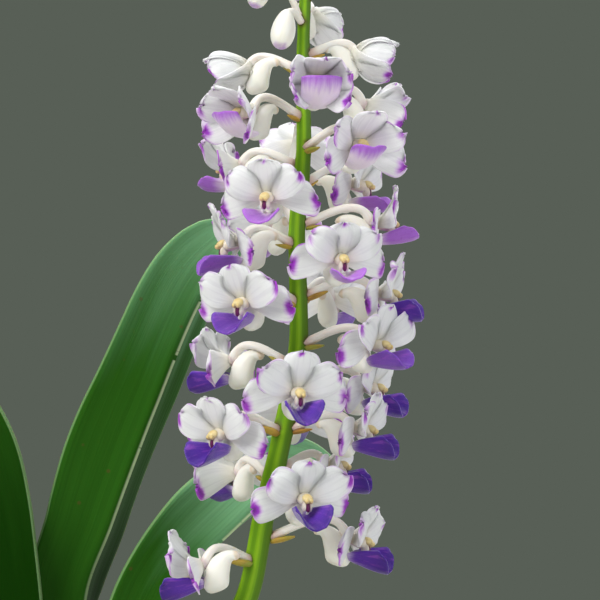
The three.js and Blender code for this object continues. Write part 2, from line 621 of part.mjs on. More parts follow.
// Potting bark: a plug that fills the pot, with chunks of bark standing out of it.
function mediumSolid() {
  const wallSlope = (POT_MOUTH_RADIUS - POT_BASE_RADIUS) / POT_HEIGHT;
  const innerAt = (z) => POT_BASE_RADIUS - POT_WALL + wallSlope * (z - POT_FLOOR);
  const profile = [
    [0, POT_FLOOR + CLEARANCE], [innerAt(POT_FLOOR) - 1.2, POT_FLOOR + CLEARANCE],
    [innerAt(MEDIUM_TOP) - 1.6, MEDIUM_TOP - 3], [innerAt(MEDIUM_TOP) - 6, MEDIUM_TOP], [0, MEDIUM_TOP + 1],
  ].map(([x, y]) => new THREE.Vector2(x, y));
  const geometry = new THREE.LatheGeometry(profile, POT_SIDES);
  geometry.rotateX(Math.PI / 2);
  const draw = seeded(7);
  const chips = Array.from({ length: CHIP_COUNT }, (_, chip) => {
    const size = lerp(7, 13, draw());
    const box = new THREE.BoxGeometry(size, size * lerp(0.5, 0.8, draw()), lerp(4, 6.5, draw()));
    box.rotateX(lerp(-0.35, 0.35, draw()));
    box.rotateY(lerp(-0.35, 0.35, draw()));
    box.rotateZ(2 * Math.PI * draw());
    const reach = (innerAt(MEDIUM_TOP) - 11) * Math.sqrt((chip + 0.5) / CHIP_COUNT);
    const angle = chip * 2.39996;
    box.translate(reach * Math.cos(angle), reach * Math.sin(angle), MEDIUM_TOP + lerp(-0.5, 1.2, draw()));
    return upright(solidOf(box));
  });
  return join([upright(solidOf(geometry)), ...chips]);
}

// Aerial roots: points from the stem out over the bark and down into it.
const ROOTS = [
  { name: '1',
    line: [[7.2, -4.5, 86], [14, -7, 90], [26, -11, 90], [33, -14.5, 84], [34.5, -15, 75], [34.5, -15, 66]] },
  { name: '2',
    line: [[-3, -6.5, 87], [-8, -14, 90], [-12, -25, 90], [-14, -32, 84], [-14.5, -34, 75], [-14.5, -34, 66]] },
  { name: '3',
    line: [[-6.9, 2.7, 88], [-15, 6, 92], [-27, 10, 90], [-34, 14, 84], [-35.5, 15, 75], [-35.5, 15, 66]] },
  { name: '4',
    line: [[2.6, 6.2, 87], [7, 14, 90], [12, 26, 90], [15, 32, 84], [16, 34, 75], [16, 34, 66]] },
  { name: '5',
    line: [[3.2, -6.8, 86], [8, -15, 90], [16, -25, 90], [21, -29.5, 84], [22, -31, 75], [22, -31, 66]] },
];
const rootCurve = ({ line }) => new THREE.CatmullRomCurve3(line.map((p) => new THREE.Vector3(...p)));

// Short upright stem, wrapped in the folded feet of its leaves.
function stemSolid() {
  const ring = (z, radius) => Array.from({ length: 8 }, (_, corner) => {
    const angle = (Math.PI * corner) / 4;
    return new THREE.Vector3(radius * Math.cos(angle), 0.85 * radius * Math.sin(angle), z);
  });
  const core = loft([
    ring(STEM_FOOT, 0.8 * STEM_RADIUS), ring(MEDIUM_TOP + 1, STEM_RADIUS),
    ring(STEM_TOP - 10, 0.9 * STEM_RADIUS), ring(STEM_TOP, 0.5 * STEM_RADIUS),
  ]);
  const sheaths = LEAVES.map((leaf) => {
    const rows = leafRows(leaf, 0, leaf.sheath - JOINT_GAP, SHEATH_ROWS);
    return blade(rows.map(([a, , b, , c]) => [a, b, c]), SHEATH_THICKNESSES);
  });
  return join([core, ...sheaths]);
}

// A round hole down through the bark, for what grows out of it.
function socket(x, y, radius, sides, foot) {
  const drill = new THREE.CylinderGeometry(radius, radius, SOCKET_HEIGHT, sides);
  return upright(solidOf(drill.rotateX(Math.PI / 2).translate(x, y, foot + SOCKET_HEIGHT / 2)));
}

const sockets = ROOTS.map(({ line }) => {
  const [x, y, foot] = line[line.length - 1];
  return socket(x, y, ROOT_RADIUS + ROOT_ROOM, 6, foot - 1);
});
const bark = [socket(0, 0, STEM_RADIUS + STEM_ROOM, 8, STEM_FOOT - 0.5), ...sockets]
  .reduce((rest, hole) => rest.subtract(hole), mediumSolid());

addNode('pot', potSolid(), MATERIALS.clay);
addNode('potting_bark', bark, MATERIALS.bark);
addNode('stem', stemSolid(), MATERIALS.stem);
ROOTS.forEach((item) => {
  addNode('root_' + item.name, tube(rootCurve(item), ROOT_RADIUS, ROOT_SIDES, ROOT_STEPS), MATERIALS.root);
});
LEAVES.forEach((leaf) => {
  const rows = leafRows(leaf, leaf.sheath, 1, LEAF_ROWS);
  addNode('leaf_' + leaf.name, blade(rows, LEAF_THICKNESSES), MATERIALS.leaf);
});
addNode('flower_stalk', rachisSolid(), MATERIALS.rachis);
BUDS.forEach((bud) => addNode('bud_' + bud.name, budSolid(bud), MATERIALS.bud));
BLOOMS.forEach((place) => addNode('bloom_' + place.name, bloomSolid(place), MATERIALS.petal));

export default root;
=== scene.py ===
"""Dressed scene of a foxtail orchid in flower, standing in a clay pot.

Sizes are millimetres in the CAD frame: the origin is the middle of the pot's
underside, +X is the side that the spike leans to and -Y is the side it faces.
"""

import logging
import random
from dataclasses import dataclass, field
from enum import IntEnum
from functools import cached_property
from math import copysign, cos, exp, hypot, pi, radians, sin, sqrt
from typing import Callable, Iterable, Optional, Sequence, Union

import bpy
from mathutils import Matrix, Vector


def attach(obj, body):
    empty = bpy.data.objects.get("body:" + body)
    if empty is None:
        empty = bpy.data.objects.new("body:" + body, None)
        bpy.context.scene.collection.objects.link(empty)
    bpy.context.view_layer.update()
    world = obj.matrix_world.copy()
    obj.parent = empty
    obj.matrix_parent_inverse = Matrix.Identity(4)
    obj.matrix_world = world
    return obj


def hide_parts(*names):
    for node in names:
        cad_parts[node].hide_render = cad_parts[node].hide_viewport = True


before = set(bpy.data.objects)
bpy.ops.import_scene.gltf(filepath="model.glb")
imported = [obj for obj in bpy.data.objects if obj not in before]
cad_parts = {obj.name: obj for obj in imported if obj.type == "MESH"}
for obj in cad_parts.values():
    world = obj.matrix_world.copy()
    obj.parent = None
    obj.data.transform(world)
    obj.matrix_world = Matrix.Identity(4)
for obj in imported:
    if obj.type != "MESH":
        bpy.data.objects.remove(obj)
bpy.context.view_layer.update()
LOG = logging.getLogger("orchid")
BODY = "root"
MM = 0.001
UP = Vector((0, 0, 1))
Colour = tuple[float, float, float]
Stops = Sequence[tuple[float, float]]
Socket = bpy.types.NodeSocket
Material = bpy.types.Material
Object = bpy.types.Object
Palette = dict[str, Material]


# Numbers and lines


def lerp(low: float, high: float, share: float) -> float:
    """Value between low and high at a share from 0 to 1."""
    return low + (high - low) * share


def smooth(value: float, low: float, high: float) -> float:
    """Smooth step from 0 at low to 1 at high."""
    share = min(max((value - low) / (high - low), 0.0), 1.0)
    return share * share * (3.0 - 2.0 * share)


def along(stops: Stops, place: float) -> float:
    """Reads a run of numbers, straight between its stops.

    Args:
        stops: Pairs of place and value, places rising.
        place: Where to read the run.

    Returns:
        The value there.
    """
    for (start, low), (end, high) in zip(stops, stops[1:]):
        if place <= end:
            return lerp(low, high, (place - start) / (end - start))
    return stops[-1][1]


def srgb(red: int, green: int, blue: int) -> Colour:
    """Linear colour of an sRGB colour given from 0 to 255."""
    shares = (channel / 255.0 for channel in (red, green, blue))
    return tuple(s / 12.92 if s <= 0.04045 else ((s + 0.055) / 1.055) ** 2.4 for s in shares)


def circle(count: int) -> list[float]:
    """Angles of points spread evenly round a ring."""
    return [2 * pi * k / count for k in range(count)]


def shares(count: int) -> list[float]:
    """Places from 0 to 1, both included, in a number of equal steps."""
    return [k / count for k in range(count + 1)]


def turned(degrees: float, axis: str) -> Matrix:
    """Turn about an axis."""
    return Matrix.Rotation(radians(degrees), 4, axis)


def egg(at: Vector, tilt: float, radii: Sequence[float]) -> Matrix:
    """Takes a ball of radius 1 to a place, with a tilt about X and three radii."""
    return Matrix.Translation(at) @ turned(tilt, "X") @ Matrix.Diagonal((*radii, 1))


def bezier(ends: Sequence[Vector], place: float) -> Vector:
    """Point of a cubic Bezier line given by its four control points."""
    (a, b, c, d), rest = ends, 1.0 - place
    return a * rest**3 + b * (3 * rest**2 * place) + c * (3 * rest * place**2) + d * place**3


def neighbours(items: Sequence, index: int) -> tuple:
    """The items before and after one, or the item itself past the end of the run."""
    return items[max(index - 1, 0)], items[min(index + 1, len(items) - 1)]


@dataclass(frozen=True)
class SmoothLine:
    """Centripetal Catmull-Rom line through points, the same one as in the CAD source."""

    points: Sequence[Sequence[float]]

    def at(self, place: float) -> Vector:
        """Point of the line.

        Args:
            place: Where on the line, 0 to 1, an equal share for each span.

        Returns:
            The point in millimetres.
        """
        last = len(self.points) - 1
        span = min(int(place * last), last - 1)
        weight = place * last - span
        p1, p2 = Vector(self.points[span]), Vector(self.points[span + 1])
        p0 = Vector(self.points[span - 1]) if span else p1 * 2 - p2
        p3 = Vector(self.points[span + 2]) if span + 2 <= last else p2 * 2 - p1
        d0, d1, d2 = [max((b - a).length_squared ** 0.25, 1e-4) for a, b in ((p0, p1), (p1, p2), (p2, p3))]
        leave = ((p1 - p0) / d0 - (p2 - p0) / (d0 + d1) + (p2 - p1) / d1) * d1
        arrive = ((p2 - p1) / d1 - (p3 - p1) / (d1 + d2) + (p3 - p2) / d2) * d1
        bend = (p2 - p1) * 3 - leave * 2 - arrive
        turn = (p1 - p2) * 2 + leave + arrive
        return p1 + leave * weight + bend * (weight * weight) + turn * weight**3

    def heading(self, place: float) -> Vector:
        """Direction of the line at a place, of length 1."""
        return (self.at(min(place + 1e-4, 1.0)) - self.at(max(place - 1e-4, 0.0))).normalized()


# Meshes


@dataclass
class Dot:
    """A point of a sheet or tube with its thickness and how strongly it is marked."""

    at: Vector
    thick: float = 0.0
    mark: float = 0.0


def hoop(middle: Vector, side: Vector, over: Vector, sides: int, mark: float = 0.0,
         swell: Optional[Callable[[float], float]] = None) -> list[Dot]:
    """Ring of dots round a point.

    Args:
        middle: Middle of the ring.
        side: From the middle to the first point.
        over: From the middle to the point a quarter turn on.
        sides: How many points.
        mark: Mark of every point.
        swell: Share of the ring's radius at an angle.

    Returns:
        The dots.
    """
    dots = []
    for angle in circle(sides):
        share = swell(angle) if swell else 1.0
        dots.append(Dot(middle + side * (share * cos(angle)) + over * (share * sin(angle)), mark=mark))
    return dots


def placed(name: str, data: bpy.types.ID) -> Object:
    """Adds an object with a mesh, curve, light or camera to the scene.

    Args:
        name: Name of the object.
        data: What it holds.

    Returns:
        The object.
    """
    made = bpy.data.objects.new(name, data)
    bpy.context.scene.collection.objects.link(made)
    return made


def keep(mesh: bpy.types.Mesh, name: str, values: Sequence[float], kind: str = "FLOAT") -> None:
    """Keeps numbers or flattened vectors on a mesh's points."""
    layer = mesh.attributes.new(name, kind, "POINT")
    layer.data.foreach_set("value" if kind == "FLOAT" else "vector", values)


@dataclass
class Skin:
    """Closed surfaces gathered for one piece, in millimetres."""

    tone: float = 0.0
    points: list[Vector] = field(default_factory=list)
    marks: list[float] = field(default_factory=list)
    faces: list[tuple[int, ...]] = field(default_factory=list)
    places: list[tuple[tuple[float, float], ...]] = field(default_factory=list)
    finishes: list[int] = field(default_factory=list)

    def _close(self, first_face: int) -> None:
        """Turns the faces from first_face on outwards, if they enclose a negative volume.

        Args:
            first_face: Number of the surface's first face.
        """
        volume = 0.0
        for face in self.faces[first_face:]:
            for one, two in zip(face[1:], face[2:]):
                volume += self.points[face[0]].dot(self.points[one].cross(self.points[two]))
        if volume < 0:
            for kept in (self.faces, self.places):
                kept[first_face:] = [corners[::-1] for corners in kept[first_face:]]

    def _face(self, corners: Sequence[int], places: Sequence[tuple[float, float]], finish: int) -> None:
        """Adds one face.

        Args:
            corners: Numbers of its points.
            places: Pattern place of each corner.
            finish: Index of its material.
        """
        self.faces.append(tuple(corners))
        self.places.append(tuple(places))
        self.finishes.append(int(finish))

    def sheet(self, rows: list[list[Dot]], finish: int = 0, layers: tuple[float, float] = (0.0, 0.0)) -> None:
        """Adds a thick sheet.

        Args:
            rows: Rows of equally many dots of its middle surface, from the foot to the tip.
            finish: Index of the sheet's material.
            layers: Added to the marks of the sheet's first and second layer.
        """
        first_face, first = len(self.faces), len(self.points)
        high, wide = len(rows), len(rows[0])
        shift = high * wide
        normals = []
        for low, row, top in zip(rows[:1] + rows, rows, rows[1:] + rows[-1:]):
            for column in range(wide):
                before, after = neighbours(row, column)
                normals.append((after.at - before.at).cross(top[column].at - low[column].at).normalized())
        dots = [dot for row in rows for dot in row]
        for sign, extra in zip((0.5, -0.5), layers):
            self.points += [dot.at + normal * (sign * dot.thick) for dot, normal in zip(dots, normals)]
            self.marks += [dot.mark + extra for dot in dots]

        def add(corners: Sequence[int]) -> None:
            """Adds a face by the points' numbers in this sheet."""
            places = [(k % shift % wide / (wide - 1), k % shift // wide / (high - 1)) for k in corners]
            self._face([first + k for k in corners], places, finish)

        for a in (row * wide + column for row in range(high - 1) for column in range(wide - 1)):
            quad = [a, a + 1, a + wide + 1, a + wide]
            add(quad)
            add([shift + k for k in reversed(quad)])
        border = [*range(wide), *range(2 * wide - 1, shift, wide)]
        border += [*range(shift - 2, shift - wide - 1, -1), *range(shift - 2 * wide, 0, -wide)]
        for a, b in zip(border, border[1:] + border[:1]):
            add([b, a, a + shift, b + shift])
        self._close(first_face)

    def tube(self, rings: list[list[Dot]], finish: int = 0) -> None:
        """Adds a closed tube through rings of equally many points, with a pole at each end.

        Args:
            rings: Rings of dots from the foot to the tip.
            finish: Index of the tube's material.
        """
        first_face, first = len(self.faces), len(self.points)
        sides, last = len(rings[0]), len(rings) - 1
        self.points += [dot.at.copy() for ring in rings for dot in ring]
        self.marks += [dot.mark for ring in rings for dot in ring]
        for row in range(last):
            base, low, high = first + row * sides, row / last, (row + 1) / last
            for side in range(sides):
                after, u0, u1 = (side + 1) % sides, side / sides, (side + 1) / sides
                corners = [base + side, base + after, base + sides + after, base + sides + side]
                self._face(corners, [(u0, low), (u1, low), (u1, high), (u0, high)], finish)
        for row, step, v in ((0, -1, 0.0), (last, 1, 1.0)):
            pole = len(self.points)
            self.points.append(sum((dot.at for dot in rings[row]), Vector()) / sides)
            self.marks.append(sum(dot.mark for dot in rings[row]) / sides)
            for side in range(sides):
                rim = [first + row * sides + side, first + row * sides + (side + 1) % sides][::step]
                self._face([*rim, pole], [((side + 0.5) / sides, v)] * 3, finish)
        self._close(first_face)

    def ball(self, shape: Matrix, finish: int = 0, mark: float = 0.0, rings: int = 9,
             sides: int = 12) -> None:
        """Adds a stretched ball.

        Args:
            shape: Takes a ball of radius 1 to its place in the piece.
            finish: Index of its material.
            mark: Mark of all its points.
            rings: Rings from pole to pole.
            sides: Points of a ring.
        """
        rows = []
        for row in range(rings):
            polar = pi * (row + 0.6) / (rings + 0.2)
            ring = hoop(UP * cos(polar), Vector((sin(polar), 0, 0)), Vector((0, sin(polar), 0)), sides, mark)
            rows.append([Dot(shape @ dot.at, mark=mark) for dot in ring])
        self.tube(rows, finish)

    def piece(self, name: str, *materials: Material) -> Object:
        """Makes the piece, in metres, with its pattern map, marks and tone.

        Args:
            name: Name of the piece.
            materials: Its materials in the order of the finishes' numbers.

        Returns:
            The new object, at the origin.
        """
        mesh = bpy.data.meshes.new(name)
        mesh.from_pydata([tuple(p * MM) for p in self.points], [], self.faces)
        layer = mesh.uv_layers.new(name="pattern")
        layer.data.foreach_set("uv", [x for face in self.places for place in face for x in place])
        mesh.polygons.foreach_set("material_index", self.finishes)
        mesh.polygons.foreach_set("use_smooth", [True] * len(self.faces))
        keep(mesh, "mark", self.marks)
        keep(mesh, "tone", [self.tone] * len(self.points))
        for material in materials:
            mesh.materials.append(material)
        mesh.update()
        return placed(name, mesh)


def dress(piece: Object, slot: str, *nodes: str) -> None:
    """Rides a piece on the plant's body, in place of CAD nodes, and reports it.

    Args:
        piece: The finished piece.
        slot: Not used.
        nodes: The CAD nodes it stands for.
    """
    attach(piece, BODY)
    if nodes:
        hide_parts(*nodes)
    LOG.info("%s: %d faces", piece.name, len(piece.data.polygons))


# Geometry trees


class GrownTree:
    """A Geometry Nodes tree written in code, with named inputs for its sizes."""

    def __init__(self, name: str) -> None:
        """Starts an empty tree with a geometry input and output.

        Args:
            name: Name of the tree.
        """
        self.tree = bpy.data.node_groups.new(name, "GeometryNodeTree")
        self.face = self.tree.interface
        for way in ("INPUT", "OUTPUT"):
            self.face.new_socket("Geometry", in_out=way, socket_type="NodeSocketGeometry")
        self.inputs = self.tree.nodes.new("NodeGroupInput").outputs
        self.end = self.tree.nodes.new("NodeGroupOutput")

    def size(self, name: str, kind: str = "Float") -> Socket:
        """Adds a named input and returns its socket inside the tree."""
        self.face.new_socket(name, in_out="INPUT", socket_type=f"NodeSocket{kind}")
        return self.inputs[name]

    def node(self, kind: str, settings: Optional[dict] = None, output: Union[int, str] = 0,
             **inputs: object) -> Socket:
        """Adds a node.

        Args:
            kind: Blender's name of the node.
            settings: Properties of the node itself.
            output: Which output to return.
            inputs: A value or a socket for each named input, with _ for a space.

        Returns:
            The node's output.
        """
        made = self.tree.nodes.new(kind)
        for key, value in (settings or {}).items():
            setattr(made, key, value)
        for key, value in inputs.items():
            socket = next(s for s in made.inputs if s.enabled and s.name == key.replace("_", " "))
            if isinstance(value, Socket):
                self.tree.links.new(value, socket)
            else:
                socket.default_value = value
        return made.outputs[output]

    def feed(self, output: Socket, *sources: Socket) -> Socket:
        """Links sources to the first inputs of the node that has an output, and returns the output."""
        for source, socket in zip(sources, output.node.inputs):
            self.tree.links.new(source, socket)
        return output

    def kept(self, name: str, kind: str = "FLOAT") -> Socket:
        """Value kept on the points that the tree starts from."""
        return self.node("GeometryNodeInputNamedAttribute", {"data_type": kind}, Name=name)

    def real(self, points: Socket, shape: Socket, **inputs: object) -> Socket:
        """A shape on each point, made real."""
        spread = self.node("GeometryNodeInstanceOnPoints", Points=points, Instance=shape, **inputs)
        return self.node("GeometryNodeRealizeInstances", Geometry=spread)

    def pushed(self, geometry: Socket, way: Socket, share: Socket) -> Socket:
        """Geometry with its points moved along a vector, scaled by a share."""
        push = self.node("ShaderNodeVectorMath", {"operation": "SCALE"}, Vector=way, Scale=share)
        return self.node("GeometryNodeSetPosition", Geometry=geometry, Offset=push)

    def noise(self, scale: float, detail: float, output: Union[int, str]) -> Socket:
        """Signed noise at each point's place."""
        return self.node("ShaderNodeTexNoise", {"normalize": False}, output, Scale=scale, Detail=detail,
                         Vector=self.node("GeometryNodeInputPosition"))

    def grow(self, name: str, seed_object: Object, geometry: Socket, sizes: dict[str, object]) -> Object:
        """Ends the tree, runs it on an object and keeps the result as a plain mesh.

        Args:
            name: Name of the new piece.
            seed_object: What the tree starts from. It is removed.
            geometry: What the tree gives, before it is made real, shaded smooth and given its material.
            sizes: Value of each named input, with its Material.

        Returns:
            The new piece.
        """
        if not self.end.inputs[0].is_linked:
            real = self.node("GeometryNodeRealizeInstances", Geometry=geometry)
            shaded = self.node("GeometryNodeSetShadeSmooth", Geometry=real)
            dressed = self.node("GeometryNodeSetMaterial", Geometry=shaded,
                                Material=self.size("Material", "Material"))
            self.tree.links.new(dressed, self.end.inputs[0])
        seed_object.modifiers.new("grow", "NODES").node_group = self.tree
        ids = {item.name: item.identifier for item in self.face.items_tree if item.in_out == "INPUT"}
        for key, value in sizes.items():
            seed_object.modifiers["grow"][ids[key]] = value
        graph = bpy.context.evaluated_depsgraph_get()
        mesh = bpy.data.meshes.new_from_object(seed_object.evaluated_get(graph), depsgraph=graph)
        bpy.data.objects.remove(seed_object)
        mesh.name = name
        return placed(name, mesh)


def line_object(name: str, points: Sequence[Vector], cyclic: bool = False) -> Object:
    """A curve object of one straight-sided line, in metres, for a tree to start from.

    Args:
        name: Name of the object.
        points: The points of the line, in millimetres.
        cyclic: Whether the line is closed.

    Returns:
        The object.
    """
    curve = bpy.data.curves.new(name, "CURVE")
    curve.dimensions = "3D"
    spline = curve.splines.new("POLY")
    spline.points.add(len(points) - 1)
    spline.points.foreach_set("co", [x for p in points for x in (p.x * MM, p.y * MM, p.z * MM, 1.0)])
    spline.use_cyclic_u = cyclic
    return placed(name, curve)


def point_object(name: str, points: Iterable[Vector]) -> Object:
    """Makes a mesh object of loose points for a tree to start from.

    Args:
        name: Name of the object.
        points: Its points in millimetres.

    Returns:
        The object.
    """
    mesh = bpy.data.meshes.new(name)
    mesh.from_pydata([tuple(point * MM) for point in points], [], [])
    return placed(name, mesh)


# Finishes


class Value:
    """A number inside a material. Arithmetic on it adds Math nodes."""

    def __init__(self, shade: "Shade", socket: Socket) -> None:
        """Wraps a node's output."""
        self.shade, self.socket = shade, socket

    def math(self, operation: str, other: object = 0.0) -> "Value":
        """Result of a Math node on this number and another."""
        return self.shade.node("ShaderNodeMath", 0, {0: self, 1: other}, operation=operation)

    def __add__(self, other: object) -> "Value":
        """Sum with a number."""
        return self.math("ADD", other)

    def __sub__(self, other: object) -> "Value":
        """Difference from a number."""
        return self.math("SUBTRACT", other)

    def __mul__(self, other: object) -> "Value":
        """Product with a number."""
        return self.math("MULTIPLY", other)

    def __abs__(self) -> "Value":
        """Size without its sign."""
        return self.math("ABSOLUTE")

    def swing(self, weight: float) -> "Value":
        """A pattern's swing about its middle, 0.5, with a weight."""
        return (self - 0.5) * weight

    def step(self, low: float, high: float) -> "Value":
        """Smooth step from 0 at low to 1 at high."""
        ends = {"Value": self, "From Min": low, "From Max": high}
        return self.shade.node("ShaderNodeMapRange", "Result", ends, interpolation_type="SMOOTHSTEP")


class Shade:
    """One material's nodes, written in code: a body colour with coats over it."""

    def __init__(self, name: str, body: Colour, **constants: object) -> None:
        """Starts a material.

        Args:
            name: Name of the material.
            body: Its main colour.
            constants: Values of its shader's inputs, with underscores for spaces.
        """
        self.material = bpy.data.materials.new(name)
        self.material.use_nodes = True
        self.tree = self.material.node_tree
        self.inputs = self.tree.nodes["Principled BSDF"].inputs
        self.body: Union[Colour, Value] = body
        for key, value in constants.items():
            self.inputs[key.replace("_", " ")].default_value = value

    def feed(self, socket: Socket, value: object) -> None:
        """Links a value to an input, or sets the input.

        Args:
            socket: The input.
            value: A value of the material, a number or a colour.
        """
        if isinstance(value, Value):
            self.tree.links.new(value.socket, socket)
        else:
            socket.default_value = (*value, 1.0) if isinstance(value, tuple) else value

    def node(self, kind: str, output: Union[int, str] = 0, inputs: Optional[dict] = None,
             **settings: object) -> Value:
        """Adds a node.

        Args:
            kind: Blender's name of the node.
            output: Which output to return.
            inputs: Value of each input, by name or number.
            settings: Properties of the node itself.

        Returns:
            The node's output.
        """
        made = self.tree.nodes.new(kind)
        for key, value in settings.items():
            setattr(made, key, value)
        for key, value in (inputs or {}).items():
            self.feed(made.inputs[key], value)
        return Value(self, made.outputs[output])

    def number(self, name: str) -> Value:
        """Value of a number kept on the mesh."""
        return self.node("ShaderNodeAttribute", "Fac", attribute_name=name)

    @cached_property
    def place(self) -> Value:
        """Place in the object's own coordinates."""
        return self.node("ShaderNodeTexCoord", "Object")

    @cached_property
    def pattern(self) -> Value:
        """Place on the piece's pattern map."""
        return self.node("ShaderNodeUVMap", uv_map="pattern")

    def part(self, vector: Value, axis: int) -> Value:
        """One coordinate of a vector."""
        return self.node("ShaderNodeSeparateXYZ", axis, {0: vector})

    @cached_property
    def across(self) -> Value:
        """Place across the piece, 0 to 1."""
        return self.part(self.pattern, 0)

    @cached_property
    def up(self) -> Value:
        """Place along the piece, 0 to 1."""
        return self.part(self.pattern, 1)

    def noise(self, scale: float, detail: float = 3.0, rough: float = 0.5,
              vector: Optional[Value] = None) -> Value:
        """Noise texture, in the object's coordinates unless a vector is given."""
        ends = {"Vector": vector or self.place, "Scale": scale, "Detail": detail, "Roughness": rough}
        return self.node("ShaderNodeTexNoise", "Fac", ends)

    def fibres(self, wide: float, long: float, detail: float = 3.0, rough: float = 0.5) -> Value:
        """Noise drawn out along the piece, another for each tone."""
        ends = {0: self.across * wide, 1: self.up * long, 2: self.number("tone") * 7.0}
        return self.noise(1.0, detail, rough, self.node("ShaderNodeCombineXYZ", 0, ends))

    def cells(self, scale: float, feature: str = "F1") -> Value:
        """Distance value of a Voronoi texture."""
        return self.node("ShaderNodeTexVoronoi", "Distance", {"Vector": self.place, "Scale": scale},
                         feature=feature)

    def coat(self, colour: Colour, share: Value) -> None:
        """Lays a colour over the body by a share from 0 to 1."""
        ends = {0: share, 6: self.body, 7: colour}
        self.body = self.node("ShaderNodeMix", 2, ends, data_type="RGBA", clamp_factor=True)

    def done(self, height: Value, strength: float, distance: float) -> Material:
        """Joins the body colour and a bump to the shader.

        Args:
            height: Height of the bump.
            strength: Its strength.
            distance: Its depth in metres.

        Returns:
            The material.
        """
        ends = {"Height": height, "Strength": strength, "Distance": distance}
        self.feed(self.inputs["Base Color"], self.body)
        self.feed(self.inputs["Normal"], self.node("ShaderNodeBump", 0, ends))
        return self.material


@dataclass(frozen=True)
class TepalFinish:
    """Crystalline white of the sepals and petals with their violet corners."""

    light: Colour = srgb(231, 231, 235)
    shade: Colour = srgb(209, 208, 216)
    cream: Colour = srgb(240, 233, 212)
    blush: Colour = srgb(206, 160, 230)
    violet: Colour = srgb(150, 46, 186)
    deep: Colour = srgb(88, 18, 118)

    def make(self) -> Material:
        """Makes fine veins, a violet mark that fades inwards and a sugary bump.

        Returns:
            The material.
        """
        s = Shade("tepal", self.light, Roughness=0.5, IOR=1.38, Subsurface_Weight=0.6, Subsurface_Scale=0.002,
                  Subsurface_Radius=(1.0, 0.9, 1.0), Sheen_Weight=0.1)
        veins = s.fibres(15.0, 1.0, 2.0)
        frayed = s.number("mark") + veins.swing(0.4) + s.noise(420.0).swing(0.3)
        s.coat(self.shade, veins.step(0.42, 0.66) * 0.4)
        s.coat(self.cream, s.up.step(0.4, 0.0) * 0.75)
        s.coat(self.blush, frayed.step(0.1, 0.55) * 0.75)
        s.coat(self.violet, frayed.step(0.38, 0.85))
        s.coat(self.deep, frayed.step(0.85, 1.2) * 0.75)
        return s.done(s.cells(3200.0) * 0.25 + veins, 0.22, 0.00025)


@dataclass(frozen=True)
class LipFinish:
    """Violet lip: lilac on the young blooms, deep blue-violet on the oldest."""

    claw: Colour = srgb(238, 222, 240)
    young: Colour = srgb(174, 106, 212)
    old: Colour = srgb(90, 38, 172)
    end: Colour = srgb(52, 20, 122)
    pink: Colour = srgb(176, 92, 208)

    def make(self) -> Material:
        """Makes a pale claw, streaks along the trough and a speckled end.

        Returns:
            The material.
        """
        s = Shade("lip", self.young, Roughness=0.46, IOR=1.4, Subsurface_Weight=0.22, Subsurface_Scale=0.001,
                  Subsurface_Radius=(0.6, 0.4, 1.0), Sheen_Weight=0.35, Sheen_Roughness=0.4)
        tone = s.number("tone")
        streaks, grain = s.fibres(16.0, 2.2, 4.0, 0.6), s.noise(1500.0, 4.0, 0.7)
        s.coat(self.old, tone.step(0.7, 0.92))
        s.coat(self.end, s.up.step(0.45, 1.0) * tone.step(0.75, 1.0) * 0.75)
        s.coat(self.pink, streaks.step(0.5, 0.75) * 0.45)
        s.coat(self.end, grain.step(0.58, 0.72) * 0.35)
        coloured = s.up + streaks.swing(0.3) + tone.step(0.45, 0.85) * 0.62 - tone.step(0.62, 0.45) * 0.17
        s.coat(self.claw, coloured.step(0.84, 0.44))
        return s.done(streaks + grain * 0.5, 0.4, 0.0003)


@dataclass(frozen=True)
class FleshFinish:
    """Waxy flesh of a bloom's column, spur and stalk, tinted towards its ends."""

    name: str
    body: Colour
    tint: Colour
    foot: Colour

    def make(self) -> Material:
        """Makes the body colour, a tint by the mark and a darker foot.

        Returns:
            The material.
        """
        s = Shade(self.name, self.body, Roughness=0.42, IOR=1.4, Subsurface_Weight=0.3,
                  Subsurface_Scale=0.0012,
                  Subsurface_Radius=(1.0, 0.8, 0.6), Coat_Weight=0.08, Coat_Roughness=0.3)
        streaks, mottle = s.fibres(9.0, 1.4), s.noise(700.0)
        s.coat(self.foot, streaks.step(0.45, 0.75) * 0.25)
        s.coat(self.tint, (s.number("mark") + mottle.swing(0.5)).step(0.25, 0.85))
        s.coat(self.foot, s.up.step(0.16, 0.0) * 0.7)
        return s.done(streaks + mottle, 0.2, 0.0003)


@dataclass(frozen=True)
class StalkFinish:
    """Ribbed yellow-green flower stalk with purple-brown nodes and painted shade on its right side."""

    rib: Colour = srgb(142, 186, 30)
    flank: Colour = srgb(118, 166, 18)
    groove: Colour = srgb(98, 146, 12)
    # Colour of the painted shade on the stalk's right side.
    dark: Colour = srgb(58, 90, 10)
    node: Colour = srgb(84, 42, 40)
    ribs: int = 6
    # Place round the stalk where the painted shade is darkest.
    right: float = 0.26

    def make(self) -> Material:
        """Makes ribs lighter than grooves, fine fibres, dark nodes and painted shade on the right side.

        Returns:
            The material.
        """
        s = Shade("stalk", self.groove, Roughness=0.42, IOR=1.42, Specular_IOR_Level=0.3,
                  Subsurface_Weight=0.15,
                  Subsurface_Scale=0.0015, Subsurface_Radius=(0.6, 1.0, 0.3))
        fibres, mottle = s.fibres(46.0, 5.0), s.noise(260.0)
        level = (s.across * (2 * pi * self.ribs)).math("COSINE") + fibres.swing(1.2)
        s.coat(self.flank, level.step(-0.9, 0.2))
        s.coat(self.rib, level.step(0.35, 1.1) * 0.75)
        s.coat(self.groove, mottle.step(0.45, 0.8) * 0.4)
        # Painted shade: the stalk's right side is darkened as if the light came from the left.
        s.coat(self.dark, ((s.across - self.right) * (2 * pi)).math("COSINE").step(0.1, 0.95) * 0.85)
        s.coat(self.node, (s.number("mark") + mottle.swing(0.6)).step(0.32, 0.8))
        return s.done(fibres, 0.3, 0.0003)


